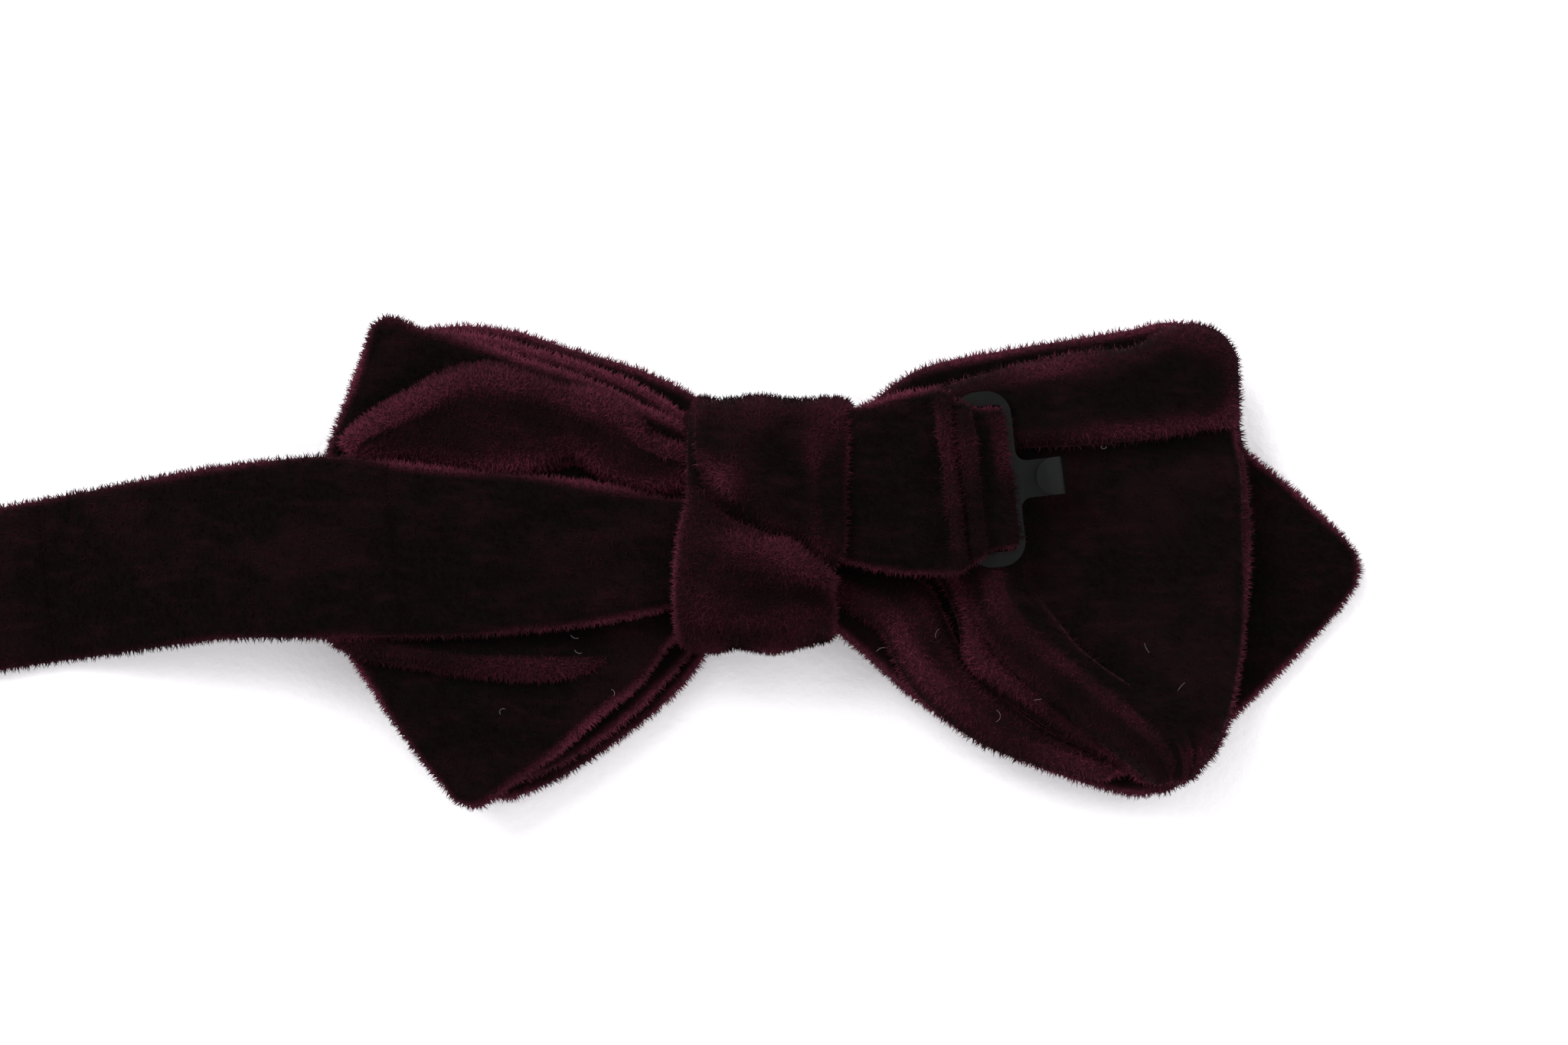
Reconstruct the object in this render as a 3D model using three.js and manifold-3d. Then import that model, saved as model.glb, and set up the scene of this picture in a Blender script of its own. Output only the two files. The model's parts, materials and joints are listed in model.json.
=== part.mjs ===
// A velvet bow tie, ready tied, lying on its front: two diamond-ended wings through a wrapped knot, a short
// tab that carries a hook, and a neck band that ends in a slider and an eye.
// Millimetres. +X runs to the hook's side, +Y to the bow's upper edge and +Z from the bow's front to its back.
// The origin is the middle of the knot's front face, which lies on the plane z = 0.
import * as THREE from 'three';
import { mergeVertices } from 'three/addons/utils/BufferGeometryUtils.js';
import Module from 'manifold-3d';

const wasm = await Module();
wasm.setup();

// Driving dimensions.
const gap = 0.3; // between neighbouring pieces
const strapTilt = THREE.MathUtils.degToRad(6.5); // the neck strap rises to the right across the bow
const strapRise = 2.73; // height at which the strap's middle line crosses x = 0
const strapThickness = 3;
const bandHalfWidth = 10.9;
const plateThickness = 0.8;
const slotHalfWidth = 9.4; // hook and eye take a 19 mm strap
const slotStrapHalfWidth = 9;

const ring = { left: -12.5, right: 9.5, halfHeight: 15.6, back: 17.9 };
const cavity = { halfHeight: 11.7, front: 3.3, back: 15.5 };
const foldHeights = [18.2, 20.9];

const hookAt = 28.9; // middle of the hook's slot along the strap
const hookMid = 14.8; // height of the hook plate's middle
const eyeBarAt = -369;
const eyeMid = 4.3;
const sliderAt = -329.5;
const sliderMid = 5;
const bendSpacing = 46;
const firstBend = -26;
const bendCount = 6;
const wingTop = 13.6; // middle of the band where it lies on the wing
const wingEdge = -62; // the band leaves the wing here
const tableEdge = -97; // and reaches the table here
const bandEnd = -280; // the last bending length of band ends here, and the slack begins
const pastTheEnd = -400; // beyond every piece of the strap
const low = -5; // below and above every piece, for cutting outlines
const high = 30;

const colours = { velvet: 0x34101f, canvas: 0xcfc5ae, thread: 0x2a0d18, metal: 0x0b0b0c };

const velvet = () => new THREE.MeshStandardMaterial({ color: colours.velvet, roughness: 0.95, metalness: 0 });
const canvas = () => new THREE.MeshStandardMaterial({ color: colours.canvas, roughness: 0.9, metalness: 0 });
const thread = () => new THREE.MeshStandardMaterial({ color: colours.thread, roughness: 0.7, metalness: 0 });
const metal = () => new THREE.MeshStandardMaterial({ color: colours.metal, roughness: 0.35, metalness: 0.6 });

// Solids for cutting and joining.
function solid(geometry) {
  const plain = geometry.clone();
  plain.deleteAttribute('normal');
  plain.deleteAttribute('uv');
  const merged = mergeVertices(plain, 1e-4);
  return new wasm.Manifold(new wasm.Mesh({
    numProp: 3,
    vertProperties: new Float32Array(merged.attributes.position.array),
    triVerts: new Uint32Array(merged.index.array),
  }));
}

function geometryOf(body) {
  const { vertProperties, triVerts } = body.getMesh();
  const geometry = new THREE.BufferGeometry();
  geometry.setAttribute('position', new THREE.BufferAttribute(new Float32Array(vertProperties), 3));
  geometry.setIndex(new THREE.BufferAttribute(new Uint32Array(triVerts), 1));
  geometry.computeVertexNormals();
  return geometry;
}

const outlineShape = (points) => new THREE.Shape(points.map(([x, y]) => new THREE.Vector2(x, y)));

// A shape in plan, from one height to another.
function prism(shape, bottom, top) {
  const geometry = new THREE.ExtrudeGeometry(shape, {
    depth: top - bottom, bevelEnabled: false, curveSegments: 8,
  });
  return geometry.translate(0, 0, bottom);
}

// A shape drawn in length and height, as wide as the whole tie.
function sideways(shape) {
  const reach = 60;
  const geometry = new THREE.ExtrudeGeometry(shape, {
    depth: 2 * reach, bevelEnabled: false, curveSegments: 8,
  });
  return geometry.rotateX(Math.PI / 2).translate(0, reach, 0);
}

// The outline of a strip that follows a path of [length, height, half thickness].
function strip(path, half) {
  const left = [];
  const right = [];
  path.forEach(([x, z, own], i) => {
    const at = new THREE.Vector2(x, z);
    const before = path[Math.max(i - 1, 0)];
    const after = path[Math.min(i + 1, path.length - 1)];
    const arriving = i > 0 ? at.clone().sub(new THREE.Vector2(...before)).normalize() : null;
    const leaving = i < path.length - 1 ? new THREE.Vector2(...after).sub(at).normalize() : null;
    const along = (arriving ?? leaving).clone().add(leaving ?? arriving).normalize();
    const bend = along.dot(arriving ?? leaving);
    const out = new THREE.Vector2(-along.y, along.x).multiplyScalar((half ?? own) / bend);
    left.push(at.clone().add(out));
    right.unshift(at.clone().sub(out));
  });
  return new THREE.Shape([...left, ...right]);
}

// Half a turn from a lower ply to an upper one, at the outer end of a loop.
function turn(x, low, high, half, steps = 6) {
  const radius = (high - low) / 2;
  return Array.from({ length: steps + 1 }, (_, i) => {
    const angle = -Math.PI / 2 + (Math.PI * i) / steps;
    return [x + radius * Math.cos(angle), (low + high) / 2 + radius * Math.sin(angle), half];
  });
}

const mirrored = (points) => points.map(([x, ...rest]) => [-x, ...rest]).reverse();
const shrunk = (points, [cx, cy], [alongX, alongY]) => points.map(
  ([x, y]) => [cx + (x - cx) * alongX, cy + (y - cy) * alongY],
);

const group = new THREE.Group();
const strap = new THREE.Group();
strap.position.set(0, strapRise, 0);
strap.rotation.z = strapTilt;
group.add(strap);

function add(parent, name, geometry, material) {
  const mesh = new THREE.Mesh(geometry, material);
  mesh.name = name;
  parent.add(mesh);
}

// A wing: velvet all round, with a pocket that is open at the root and holds its canvas. The canvas of a loop
// follows the velvet round its fold, and that of a point stops short of the point's edges.
const plan = (outline) => solid(prism(outlineShape(outline), low, high));

function wing(name, outline, path, centre, isLoop) {
  const side = Math.sign(centre[0]);
  const pocketShare = isLoop ? [1, 0.9] : [0.92, 0.92];
  const canvasShare = isLoop ? [0.99, 0.88] : [0.9, 0.9];
  const mouth = plan([[0, -6], [side * 6, -6], [side * 6, 6], [0, 6]]);
  const longer = path.map(([x, ...rest]) => [Math.abs(x) < 1 ? 0 : x, ...rest]);
  const pocket = plan(shrunk(outline, centre, pocketShare)).add(mouth)
    .intersect(solid(sideways(strip(longer, 0.5))));
  const body = plan(outline).intersect(solid(sideways(strip(path)))).subtract(pocket);
  add(group, name, geometryOf(body), velvet());
  const lining = plan(shrunk(outline, centre, canvasShare)).intersect(solid(sideways(strip(path, 0.25))));
  add(group, `${name}_canvas`, geometryOf(lining), canvas());
}

const frontPointPath = [[0.6, 4.9, 1.3], [10.4, 4.9, 1.3], [18, 1.8, 1.8], [79, 1.8, 1.8]];
const frontPointOutline = [
  [0.6, -9], [10.4, -11.2], [13.2, -18], [21.8, -25], [32.7, -31], [44, -34.4], [48.5, -36], [58, -27.4],
  [75.6, -9.6], [77.4, -5.4], [75, -1.8], [60.9, 10.9], [44, 25], [30, 21.5], [13, 14.5], [10.4, 10.5],
  [0.6, 9],
];
const backLoopPath = [
  [0.6, 9.5, 0.6], [12.5, 9.5, 0.6], [20, 6, 1.5], ...turn(57.5, 6, 10.1, 1.5), [20, 10.1, 1.5],
  [12.5, 11, 0.6], [0.6, 11, 0.6],
];
const backLoopOutline = [
  [0.6, -9.5], [10.2, -11.2], [14, -17.5], [22, -24], [33, -30], [46, -34.2], [50.2, -35.8], [53.2, -34.5],
  [59.4, -23.5], [61.2, -15], [61, 8], [59.6, 14], [58.8, 23.6], [57, 26], [50.5, 26.8], [29, 23],
  [18, 20], [12.6, 16], [10.2, 11.2], [0.6, 9.5],
];
const backPointPath = [[0.6, 10.5, 1.1], [12.8, 10.5, 1.1], [20, 9.8, 1.7], [56, 9.8, 1.7], [64, 9.4, 1.3]];
const backPointOutline = [
  [0.6, -9], [12.8, -11], [15, -17.6], [21.8, -24.5], [33.7, -33.7], [38.3, -37.2], [41.5, -36.4],
  [56.2, -15], [63.3, -6], [57.5, 10], [52, 26.6], [50, 27.6], [42.4, 26], [26.4, 21], [15, 17],
  [12.8, 11], [0.6, 9],
];
const frontLoopPath = [
  [0.6, 4.25, 0.65], [13.2, 4.25, 0.65], [20, 1.5, 1.5], ...turn(52.5, 1.5, 6.1, 1.5), [20, 6.1, 1.5],
  [13.2, 5.75, 0.65], [0.6, 5.75, 0.65],
];
const frontLoopOutline = [
  [0.6, -9.5], [12.8, -11.2], [13, -22.2], [21.8, -29.6], [33.7, -36], [36.5, -36.6], [40, -34],
  [52, -16], [56.3, -5], [53, 12], [47, 24.5], [40, 25.6], [26.4, 22], [13.2, 18], [12.8, 11.2],
  [0.6, 9.5],
];

wing('front_point', frontPointOutline, frontPointPath, [42, -3], false);
wing('back_loop', backLoopOutline, backLoopPath, [38, -3], true);
wing('back_point', mirrored(backPointOutline), mirrored(backPointPath), [-38, -3], false);
wing('front_loop', mirrored(frontLoopOutline), mirrored(frontLoopPath), [-34, -4], true);

// The knot: a wrap right round the wings' waist, two folds that cross over its back, and a core inside.
function roundedRectangle(x0, y0, x1, y1, radius, Kind = THREE.Shape) {
  const shape = new Kind();
  shape.moveTo(x0 + radius, y0);
  shape.lineTo(x1 - radius, y0);
  shape.absarc(x1 - radius, y0 + radius, radius, -Math.PI / 2, 0);
  shape.lineTo(x1, y1 - radius);
  shape.absarc(x1 - radius, y1 - radius, radius, 0, Math.PI / 2);
  shape.lineTo(x0 + radius, y1);
  shape.absarc(x0 + radius, y1 - radius, radius, Math.PI / 2, Math.PI);
  shape.lineTo(x0, y0 + radius);
  shape.absarc(x0 + radius, y0 + radius, radius, Math.PI, Math.PI * 1.5);
  return shape;
}

// A shape drawn in Y and Z, between two places along X.
function across(shape, left, right) {
  const geometry = new THREE.ExtrudeGeometry(shape, {
    depth: right - left, bevelEnabled: false, curveSegments: 6,
  });
  const turned = new THREE.Matrix4().makeBasis(
    new THREE.Vector3(0, 1, 0), new THREE.Vector3(0, 0, 1), new THREE.Vector3(1, 0, 0),
  );
  return geometry.applyMatrix4(turned).translate(left, 0, 0);
}

function knotWrap() {
  const section = roundedRectangle(-ring.halfHeight, 0, ring.halfHeight, ring.back, 5);
  section.holes.push(roundedRectangle(
    -cavity.halfHeight, cavity.front, cavity.halfHeight, cavity.back, 1.5, THREE.Path,
  ));
  return across(section, ring.left, ring.right);
}

function knotThread() {
  const section = roundedRectangle(-9.1, 6.65, 9.1, 8.65, 0.4);
  section.holes.push(roundedRectangle(-8.7, 6.95, 8.7, 8.35, 0.2, THREE.Path));
  return across(section, -1.2, 1.2);
}

const upperFold = [
  [-9.7, 9.5], [-8.2, 4.8], [-4.9, 0.5], [-1.9, -0.8], [1.4, -1.9], [5.1, -4.8], [7.9, -8.2], [6.9, -3.1],
  [8.8, 6], [10, 15.3], [-2.3, 15.9], [-10.2, 15.5],
];
const lowerFold = [
  [-10.2, 6], [-12.3, 0], [-13.2, -9], [-12.3, -14.8], [-7.9, -15.7], [-4.9, -14.9], [-3.4, -15.7],
  [0.3, -15.9], [3.6, -14.5], [7.5, -13.7], [7.6, -9], [4.8, -5.5], [1.2, -2.6], [-2.1, -1.5],
  [-5.3, -0.3], [-8.6, 4.2],
];
add(group, 'knot_wrap', knotWrap(), velvet());
add(group, 'knot_upper_fold', prism(outlineShape(upperFold), ...foldHeights), velvet());
add(group, 'knot_lower_fold', prism(outlineShape(lowerFold), ...foldHeights), velvet());
const knotCore = { length: 16, width: 16.8, thickness: 1.1, middle: 7.65 };
const corePad = new THREE.BoxGeometry(knotCore.length, knotCore.width, knotCore.thickness);
add(group, 'knot_core', corePad.translate(0, 0, knotCore.middle), canvas());
add(group, 'knot_tack', knotThread(), thread());

// The neck band, in lengths that meet at its bends. Its edges are [place along the strap, low, high].
const bandEdges = [
  [-0.8, -9.5, 3.5], [-13, -11.9, 1.4], [-18, -12.3, 4.3], [-26, -13, 6.3], [-40, -12.7, 9.2],
  [-57, -11.2, 13.2], [-72, -9.4, 13.2], [-100, -10.3, 11.3], [-118, -bandHalfWidth, bandHalfWidth],
];
const bandMiddle = [
  [-0.8, wingTop], [wingEdge, wingTop], [tableEdge, strapThickness / 2], [pastTheEnd, strapThickness / 2],
];

const mix = (table, at) => {
  const next = table.findIndex(([s]) => s <= at);
  if (next < 0) return table.at(-1).slice(1);
  if (next === 0) return table[0].slice(1);
  const [a, b] = [table[next - 1], table[next]];
  const share = (at - a[0]) / (b[0] - a[0]);
  return a.slice(1).map((value, i) => value + (b[i + 1] - value) * share);
};
const between = (table, near, far) => [
  [near, ...mix(table, near)],
  ...table.filter(([s]) => s < near - 0.5 && s > far + 0.5),
  [far, ...mix(table, far)],
];

function bandOutline(near, far, share) {
  const edges = between(bandEdges, near, far).map(([s, low, high]) => {
    const middle = (low + high) / 2;
    return [s, middle + (low - middle) * share, middle + (high - middle) * share];
  });
  return outlineShape([
    ...edges.map(([s, low]) => [s, low]),
    ...edges.toReversed().map(([s, , high]) => [s, high]),
  ]);
}

function bandPiece(near, far, half, share) {
  const layer = solid(sideways(strip(between(bandMiddle, near, far), half)));
  return solid(prism(bandOutline(near, far, share), low, high)).intersect(layer);
}

function bandLength(name, canvasName, near, far) {
  const tunnel = bandPiece(near + 1, far - 1, 0.7, 0.8);
  const tube = bandPiece(near, far, strapThickness / 2, 1).subtract(tunnel);
  add(strap, name, geometryOf(tube), velvet());
  add(strap, canvasName, geometryOf(bandPiece(near - 1, far + 1, 0.35, 0.72)), canvas());
}

bandLength('band_root', 'band_root_canvas', -0.8, firstBend + gap / 2);
for (let i = 0; i < bendCount; i += 1) {
  const near = firstBend - i * bendSpacing - gap / 2;
  const far = i < bendCount - 1 ? near - bendSpacing + gap : bandEnd;
  bandLength(`neck_band_${i + 1}`, `neck_band_${i + 1}_canvas`, near, far);
}

// What follows is drawn as [length, height] and cut to a half width.
function strapPiece(name, profile, halfWidth, material = velvet()) {
  const shape = outlineShape(profile);
  const geometry = new THREE.ExtrudeGeometry(shape, { depth: 2 * halfWidth, bevelEnabled: false });
  add(strap, name, geometry.rotateX(Math.PI / 2).translate(0, halfWidth, 0), material);
}

const foldNear = -364;
const returnNear = -346.3;
strapPiece('band_slack', [
  [foldNear + gap, 0], [foldNear + gap, strapThickness], [bandEnd - gap, strapThickness], [bandEnd - gap, 0],
], bandHalfWidth);
strapPiece('band_return', [
  [foldNear + gap, 5.3], [foldNear + gap, 8.1], [returnNear, 6.2], [returnNear, 3.4],
], slotStrapHalfWidth + 1);
strapPiece('band_end_fold', [
  [foldNear, 0], [foldNear, 3], [-369.8, 3], [-370.6, 4.2], [-369.8, 5.3], [foldNear, 5.3], [foldNear, 8.1],
  [-369.6, 8.1], [-372.4, 6.6], [-373.2, 4.1], [-372.4, 1.6], [-369.6, 0],
], slotStrapHalfWidth);

// The slider, with the band's hump over its middle bar and the returned end sewn round its outer bar.
const slider = { knotSide: 7.5, eyeSide: -7.5, bar: 1.8, halfWidth: 12.4, slotHalfWidth: 10.4, middle: 1 };
function sliderFrame() {
  const shape = roundedRectangle(
    slider.eyeSide, -slider.halfWidth, slider.knotSide, slider.halfWidth, 2,
  );
  const slots = [
    [slider.middle + slider.bar / 2, slider.knotSide - slider.bar],
    [slider.eyeSide + slider.bar, slider.middle - slider.bar / 2],
  ];
  slots.forEach(([near, far]) => shape.holes.push(roundedRectangle(
    near, -slider.slotHalfWidth, far, slider.slotHalfWidth, 0.8, THREE.Path,
  )));
  return prism(shape, sliderMid - plateThickness / 2, sliderMid + plateThickness / 2)
    .translate(sliderAt, 0, 0);
}
add(strap, 'slider_frame', sliderFrame(), metal());
const onSlider = (points) => points.map(([s, z]) => [sliderAt + s, z]);
const sliderStrapHalfWidth = 10;
strapPiece('band_hump', onSlider([
  [5.3, 3.3], [5.3, 7], [4, 8.6], [-1.2, 8.6], [-2.5, 7], [-2.5, 3.3], [-0.3, 3.3], [-0.3, 5.8], [2.3, 5.8],
  [2.3, 3.3],
]), sliderStrapHalfWidth);
strapPiece('return_wrap', onSlider([
  [-16.5, 6.2], [-16.5, 3.4], [-9, 5.8], [-5.3, 5.8], [-5.3, 4.2], [-10.5, 4.2], [-10.5, 3.3], [-3, 3.3],
  [-3, 7.2], [-4.4, 8.6], [-10, 8.6],
]), sliderStrapHalfWidth);
const returnStitches = new THREE.BoxGeometry(0.5, 17, 0.3).translate(sliderAt - 8.4, 0, 9.05);
add(strap, 'return_stitching', returnStitches, thread());

// The eye: a plate with a slot for the band and a window that the hook catches.
const eye = {
  bar: 1.6, slotEnd: 5.4, windowNear: 7.4, windowFar: 13, end: 15, halfWidth: 12, windowHalfWidth: 3.4,
};
function eyePlate() {
  const shape = roundedRectangle(-eye.end, -eye.halfWidth, eye.bar / 2, eye.halfWidth, 2.6);
  shape.holes.push(roundedRectangle(
    -eye.slotEnd, -slotHalfWidth, -eye.bar / 2, slotHalfWidth, 0.8, THREE.Path,
  ));
  shape.holes.push(roundedRectangle(
    -eye.windowFar, -eye.windowHalfWidth, -eye.windowNear, eye.windowHalfWidth, 0.8, THREE.Path,
  ));
  return prism(shape, eyeMid - plateThickness / 2, eyeMid + plateThickness / 2).translate(eyeBarAt, 0, 0);
}
add(strap, 'eye_plate', eyePlate(), metal());

// The tab: a strap that leaves the knot, folds round the hook's bar and is sewn back under itself.
function tabPart(outline, profile) {
  return geometryOf(
    plan(outline).intersect(solid(sideways(outlineShape(profile)))),
  );
}
const tabBend = 12.6;
add(strap, 'tab_root', tabPart(
  [[0.8, -7], [8, -8.3], [tabBend - 0.2, -10.1], [tabBend - 0.2, 11], [11.7, 10.6], [10.5, 7.1], [0.8, 6.5]],
  [[0.8, 12.1], [tabBend - 0.2, 12.1], [tabBend - 0.2, 15.1], [0.8, 15.1]],
), velvet());
add(strap, 'tab_strap', tabPart(
  [[tabBend + 0.2, -10.2], [17, -10.8], [22.6, -11.3], [23.5, -10.6], [23.9, -9], [30.5, -9], [30.5, 9],
    [23.9, 9], [23.5, 11.4], [22.6, 12.2], [17.7, 12], [tabBend + 0.2, 11.1]],
  [[tabBend + 0.2, 15.1], [tabBend + 0.2, 12.1], [20, 15.8], [25.8, 15.8], [26.4, 14.8], [25.8, 13.8],
    [17.5, 13.8], [17.5, 11.9], [27.4, 11.9], [29.4, 13], [29.9, 15], [28.4, 17], [25.2, 18.2],
    [19.5, 18.2]],
), velvet());
add(strap, 'tab_stitching', new THREE.BoxGeometry(0.5, 16, 0.5).translate(18.9, 0, 14.45), thread());

// The hook: a slotted plate whose tongue curls back over itself.
const hook = { left: -4.9, right: 2.6, halfHeight: 11.3, slotLeft: -3.3, slotRight: 1.4 };
const tongue = { middle: -0.5, halfWidth: 2.4, bend: 7.2, inner: 0.5, fillet: 1.4, tipRadius: 2.4 };
function hookPlate() {
  const shape = roundedRectangle(hook.left, -hook.halfHeight, hook.right, hook.halfHeight, 3.2);
  shape.holes.push(roundedRectangle(
    hook.slotLeft, -slotHalfWidth, hook.slotRight, slotHalfWidth, 0.6, THREE.Path,
  ));
  const plate = solid(prism(shape, hookMid - plateThickness / 2, hookMid + plateThickness / 2));

  // The neck widens into the plate's edge with a fillet on each side.
  const tongueLow = tongue.middle - tongue.halfWidth;
  const tongueHigh = tongue.middle + tongue.halfWidth;
  const neck = new THREE.Shape();
  neck.moveTo(hook.right - 0.5, tongueLow - tongue.fillet);
  neck.lineTo(hook.right, tongueLow - tongue.fillet);
  neck.absarc(hook.right + tongue.fillet, tongueLow - tongue.fillet, tongue.fillet, Math.PI, Math.PI / 2, true);
  neck.lineTo(tongue.bend, tongueLow);
  neck.lineTo(tongue.bend, tongueHigh);
  neck.lineTo(hook.right + tongue.fillet, tongueHigh);
  neck.absarc(hook.right + tongue.fillet, tongueHigh + tongue.fillet, tongue.fillet, -Math.PI / 2, -Math.PI, true);
  neck.lineTo(hook.right - 0.5, tongueHigh + tongue.fillet);
  const neckPlate = solid(prism(neck, hookMid - plateThickness / 2, hookMid + plateThickness / 2));

  // The curl turns up and back, and its lip ends in half a disc.
  const radius = tongue.inner + plateThickness / 2;
  const centre = hookMid + radius;
  const curlPath = [[tongue.bend - 0.2, hookMid]];
  for (let degrees = -90; degrees <= 75; degrees += 15) {
    const angle = THREE.MathUtils.degToRad(degrees);
    curlPath.push([tongue.bend + radius * Math.cos(angle), centre + radius * Math.sin(angle)]);
  }
  const last = curlPath.at(-1);
  curlPath.push([last[0] - 3.4 * Math.cos(Math.PI / 12), last[1] + 3.4 * Math.sin(Math.PI / 12)]);
  const curl = solid(sideways(strip(curlPath, plateThickness / 2)));
  const tip = new THREE.Shape();
  tip.moveTo(10, tongueLow);
  tip.lineTo(10, tongueHigh);
  tip.lineTo(tongue.bend, tongueHigh);
  tip.absarc(tongue.bend, tongue.middle, tongue.tipRadius, Math.PI / 2, Math.PI * 1.5);
  const body = plate.add(neckPlate).add(curl.intersect(solid(prism(tip, 10, 20))));
  return geometryOf(body).translate(hookAt, 0, 0);
}
add(strap, 'hook_plate', hookPlate(), metal());

export default group;
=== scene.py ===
"""A ready-tied velvet bow tie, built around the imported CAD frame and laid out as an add-on."""

import json
import math

import bmesh
import bpy
import numpy as np
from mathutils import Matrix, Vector


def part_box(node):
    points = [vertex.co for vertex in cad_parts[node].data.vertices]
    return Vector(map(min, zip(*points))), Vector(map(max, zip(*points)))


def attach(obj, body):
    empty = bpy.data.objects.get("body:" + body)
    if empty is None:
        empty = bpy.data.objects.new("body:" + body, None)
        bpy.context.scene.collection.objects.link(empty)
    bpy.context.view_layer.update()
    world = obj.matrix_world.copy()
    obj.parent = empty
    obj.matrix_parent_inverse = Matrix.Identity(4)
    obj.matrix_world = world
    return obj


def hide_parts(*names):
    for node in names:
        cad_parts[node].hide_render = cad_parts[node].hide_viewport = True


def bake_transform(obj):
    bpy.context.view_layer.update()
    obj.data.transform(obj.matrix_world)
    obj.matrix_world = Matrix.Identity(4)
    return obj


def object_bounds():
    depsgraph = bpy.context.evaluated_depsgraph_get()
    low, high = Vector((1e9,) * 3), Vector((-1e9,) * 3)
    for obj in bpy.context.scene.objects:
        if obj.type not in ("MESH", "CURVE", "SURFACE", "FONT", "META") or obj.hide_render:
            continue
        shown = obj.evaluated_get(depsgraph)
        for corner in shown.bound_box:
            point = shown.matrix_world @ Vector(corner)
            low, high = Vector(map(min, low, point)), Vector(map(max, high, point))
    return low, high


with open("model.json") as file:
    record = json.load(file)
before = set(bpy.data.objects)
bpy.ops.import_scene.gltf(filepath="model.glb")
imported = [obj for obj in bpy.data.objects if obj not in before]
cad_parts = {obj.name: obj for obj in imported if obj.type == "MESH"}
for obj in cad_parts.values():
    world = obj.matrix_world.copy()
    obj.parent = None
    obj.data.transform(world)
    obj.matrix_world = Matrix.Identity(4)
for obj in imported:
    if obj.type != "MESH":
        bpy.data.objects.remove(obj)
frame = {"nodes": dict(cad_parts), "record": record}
CAD_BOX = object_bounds()

bl_info = {
    "name": "Velvet Bow Tie",
    "version": (1, 0, 0),
    "blender": (4, 5, 0),
    "location": "View3D > Sidebar > Bow Tie",
    "description": "Builds a ready-tied velvet bow tie with its hook, slider and eye",
    "category": "Object",
}

MM = 0.001
CLOTH_HALF = 1.15  # half a wing layer's thickness, in millimetres
EDGE_LIGHT = 0.9 * MM  # how far in from an edge the colour is painted lighter, as painted edge light
FOLD_LIGHT = 2.2 * MM  # a fold this tight is painted with the full ridge light
TABLE_ROOM = 0.5 * MM  # cloth and pile lower than this are pressed against the table
TABLE_GAP = 0.3 * MM  # between the table and the lowest place
AIM = (1.3 * MM, 0.35 * MM)  # where the camera looks down
LIT_FROM_ABOVE = np.array([0, 0, 0.8])  # how far hairs at an edge seem to lean up
EVEN_LIGHT, UNEVEN_LIGHT = 0.66, 0.22  # how strong the painted edge and ridge light is, and by how much that varies at random
RIDGE_LIGHT = 0.62  # how much lighter the colour is painted along a ridge, as painted ridge light
MOST_TUFTS = 49000  # how many a piece of velvet is given at most, before its edges gain and covered cloth loses some
COVERED = 1.15  # that many times over, for the tufts that covered cloth loses
JOINTS = {joint["name"]: joint for joint in frame["record"]["behaviour"]["joints"]}
BODY_OF = {
    node: body for body, nodes in frame["record"]["behaviour"]["bodies"].items() for node in nodes
}


# ---------------------------------------------------------------- places taken from the frame


class Span:
    """Places over a CAD node: across and up in percent of its box, and height above the table in millimetres.

    The cloth stays a little inside the box, to leave room for the pile."""

    def __init__(self, node, inset=0.02):
        low, high = (np.array(corner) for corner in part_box(node))
        self.middle, self.size = (low + high) / 2, (high - low) * (1 - inset)

    def row(self, points):
        points = np.array(points, float)
        out = self.middle + self.size * (points / 100 - 0.5)
        out[:, 2] = points[:, 2] * MM
        return out

    def net(self, rows):
        return [self.row(points) for points in rows]


class Strap:
    """The neck strap's own axes: s runs along it towards the hook, t across it, and z up from the table."""

    def __init__(self):
        near, far = (np.array(JOINTS[name]["pos_m"]) for name in ("tab_flex", "eye_swing"))
        along = near - far
        along[2] = 0
        self.along = along / np.linalg.norm(along)
        self.across = np.array([-self.along[1], self.along[0], 0])
        self.origin = near - self.along * near[0] / self.along[0]
        self.origin[2] = 0

    def place(self, points):
        points = np.asarray(points, float) * MM
        return (
            self.origin
            + points[..., :1] * self.along
            + points[..., 1:2] * self.across
            + points[..., 2:] * np.array([0, 0, 1])
        )

    def coordinates(self, points):
        out = np.asarray(points, float) - self.origin
        return np.stack([out @ self.along, out @ self.across, out[..., 2]], axis=-1) / MM

    def joint(self, name):
        return self.coordinates(np.array(JOINTS[name]["pos_m"]))[0]

    def points_of(self, node):
        mesh = frame["nodes"][node].data
        return self.coordinates(np.array([v.co for v in mesh.vertices]))

    def box(self, node):
        points = self.points_of(node)
        return points.min(0), points.max(0)

    def net(self, rows):
        return [self.place(points) for points in rows]


STRAP = Strap()


# ---------------------------------------------------------------- smooth surfaces


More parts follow.
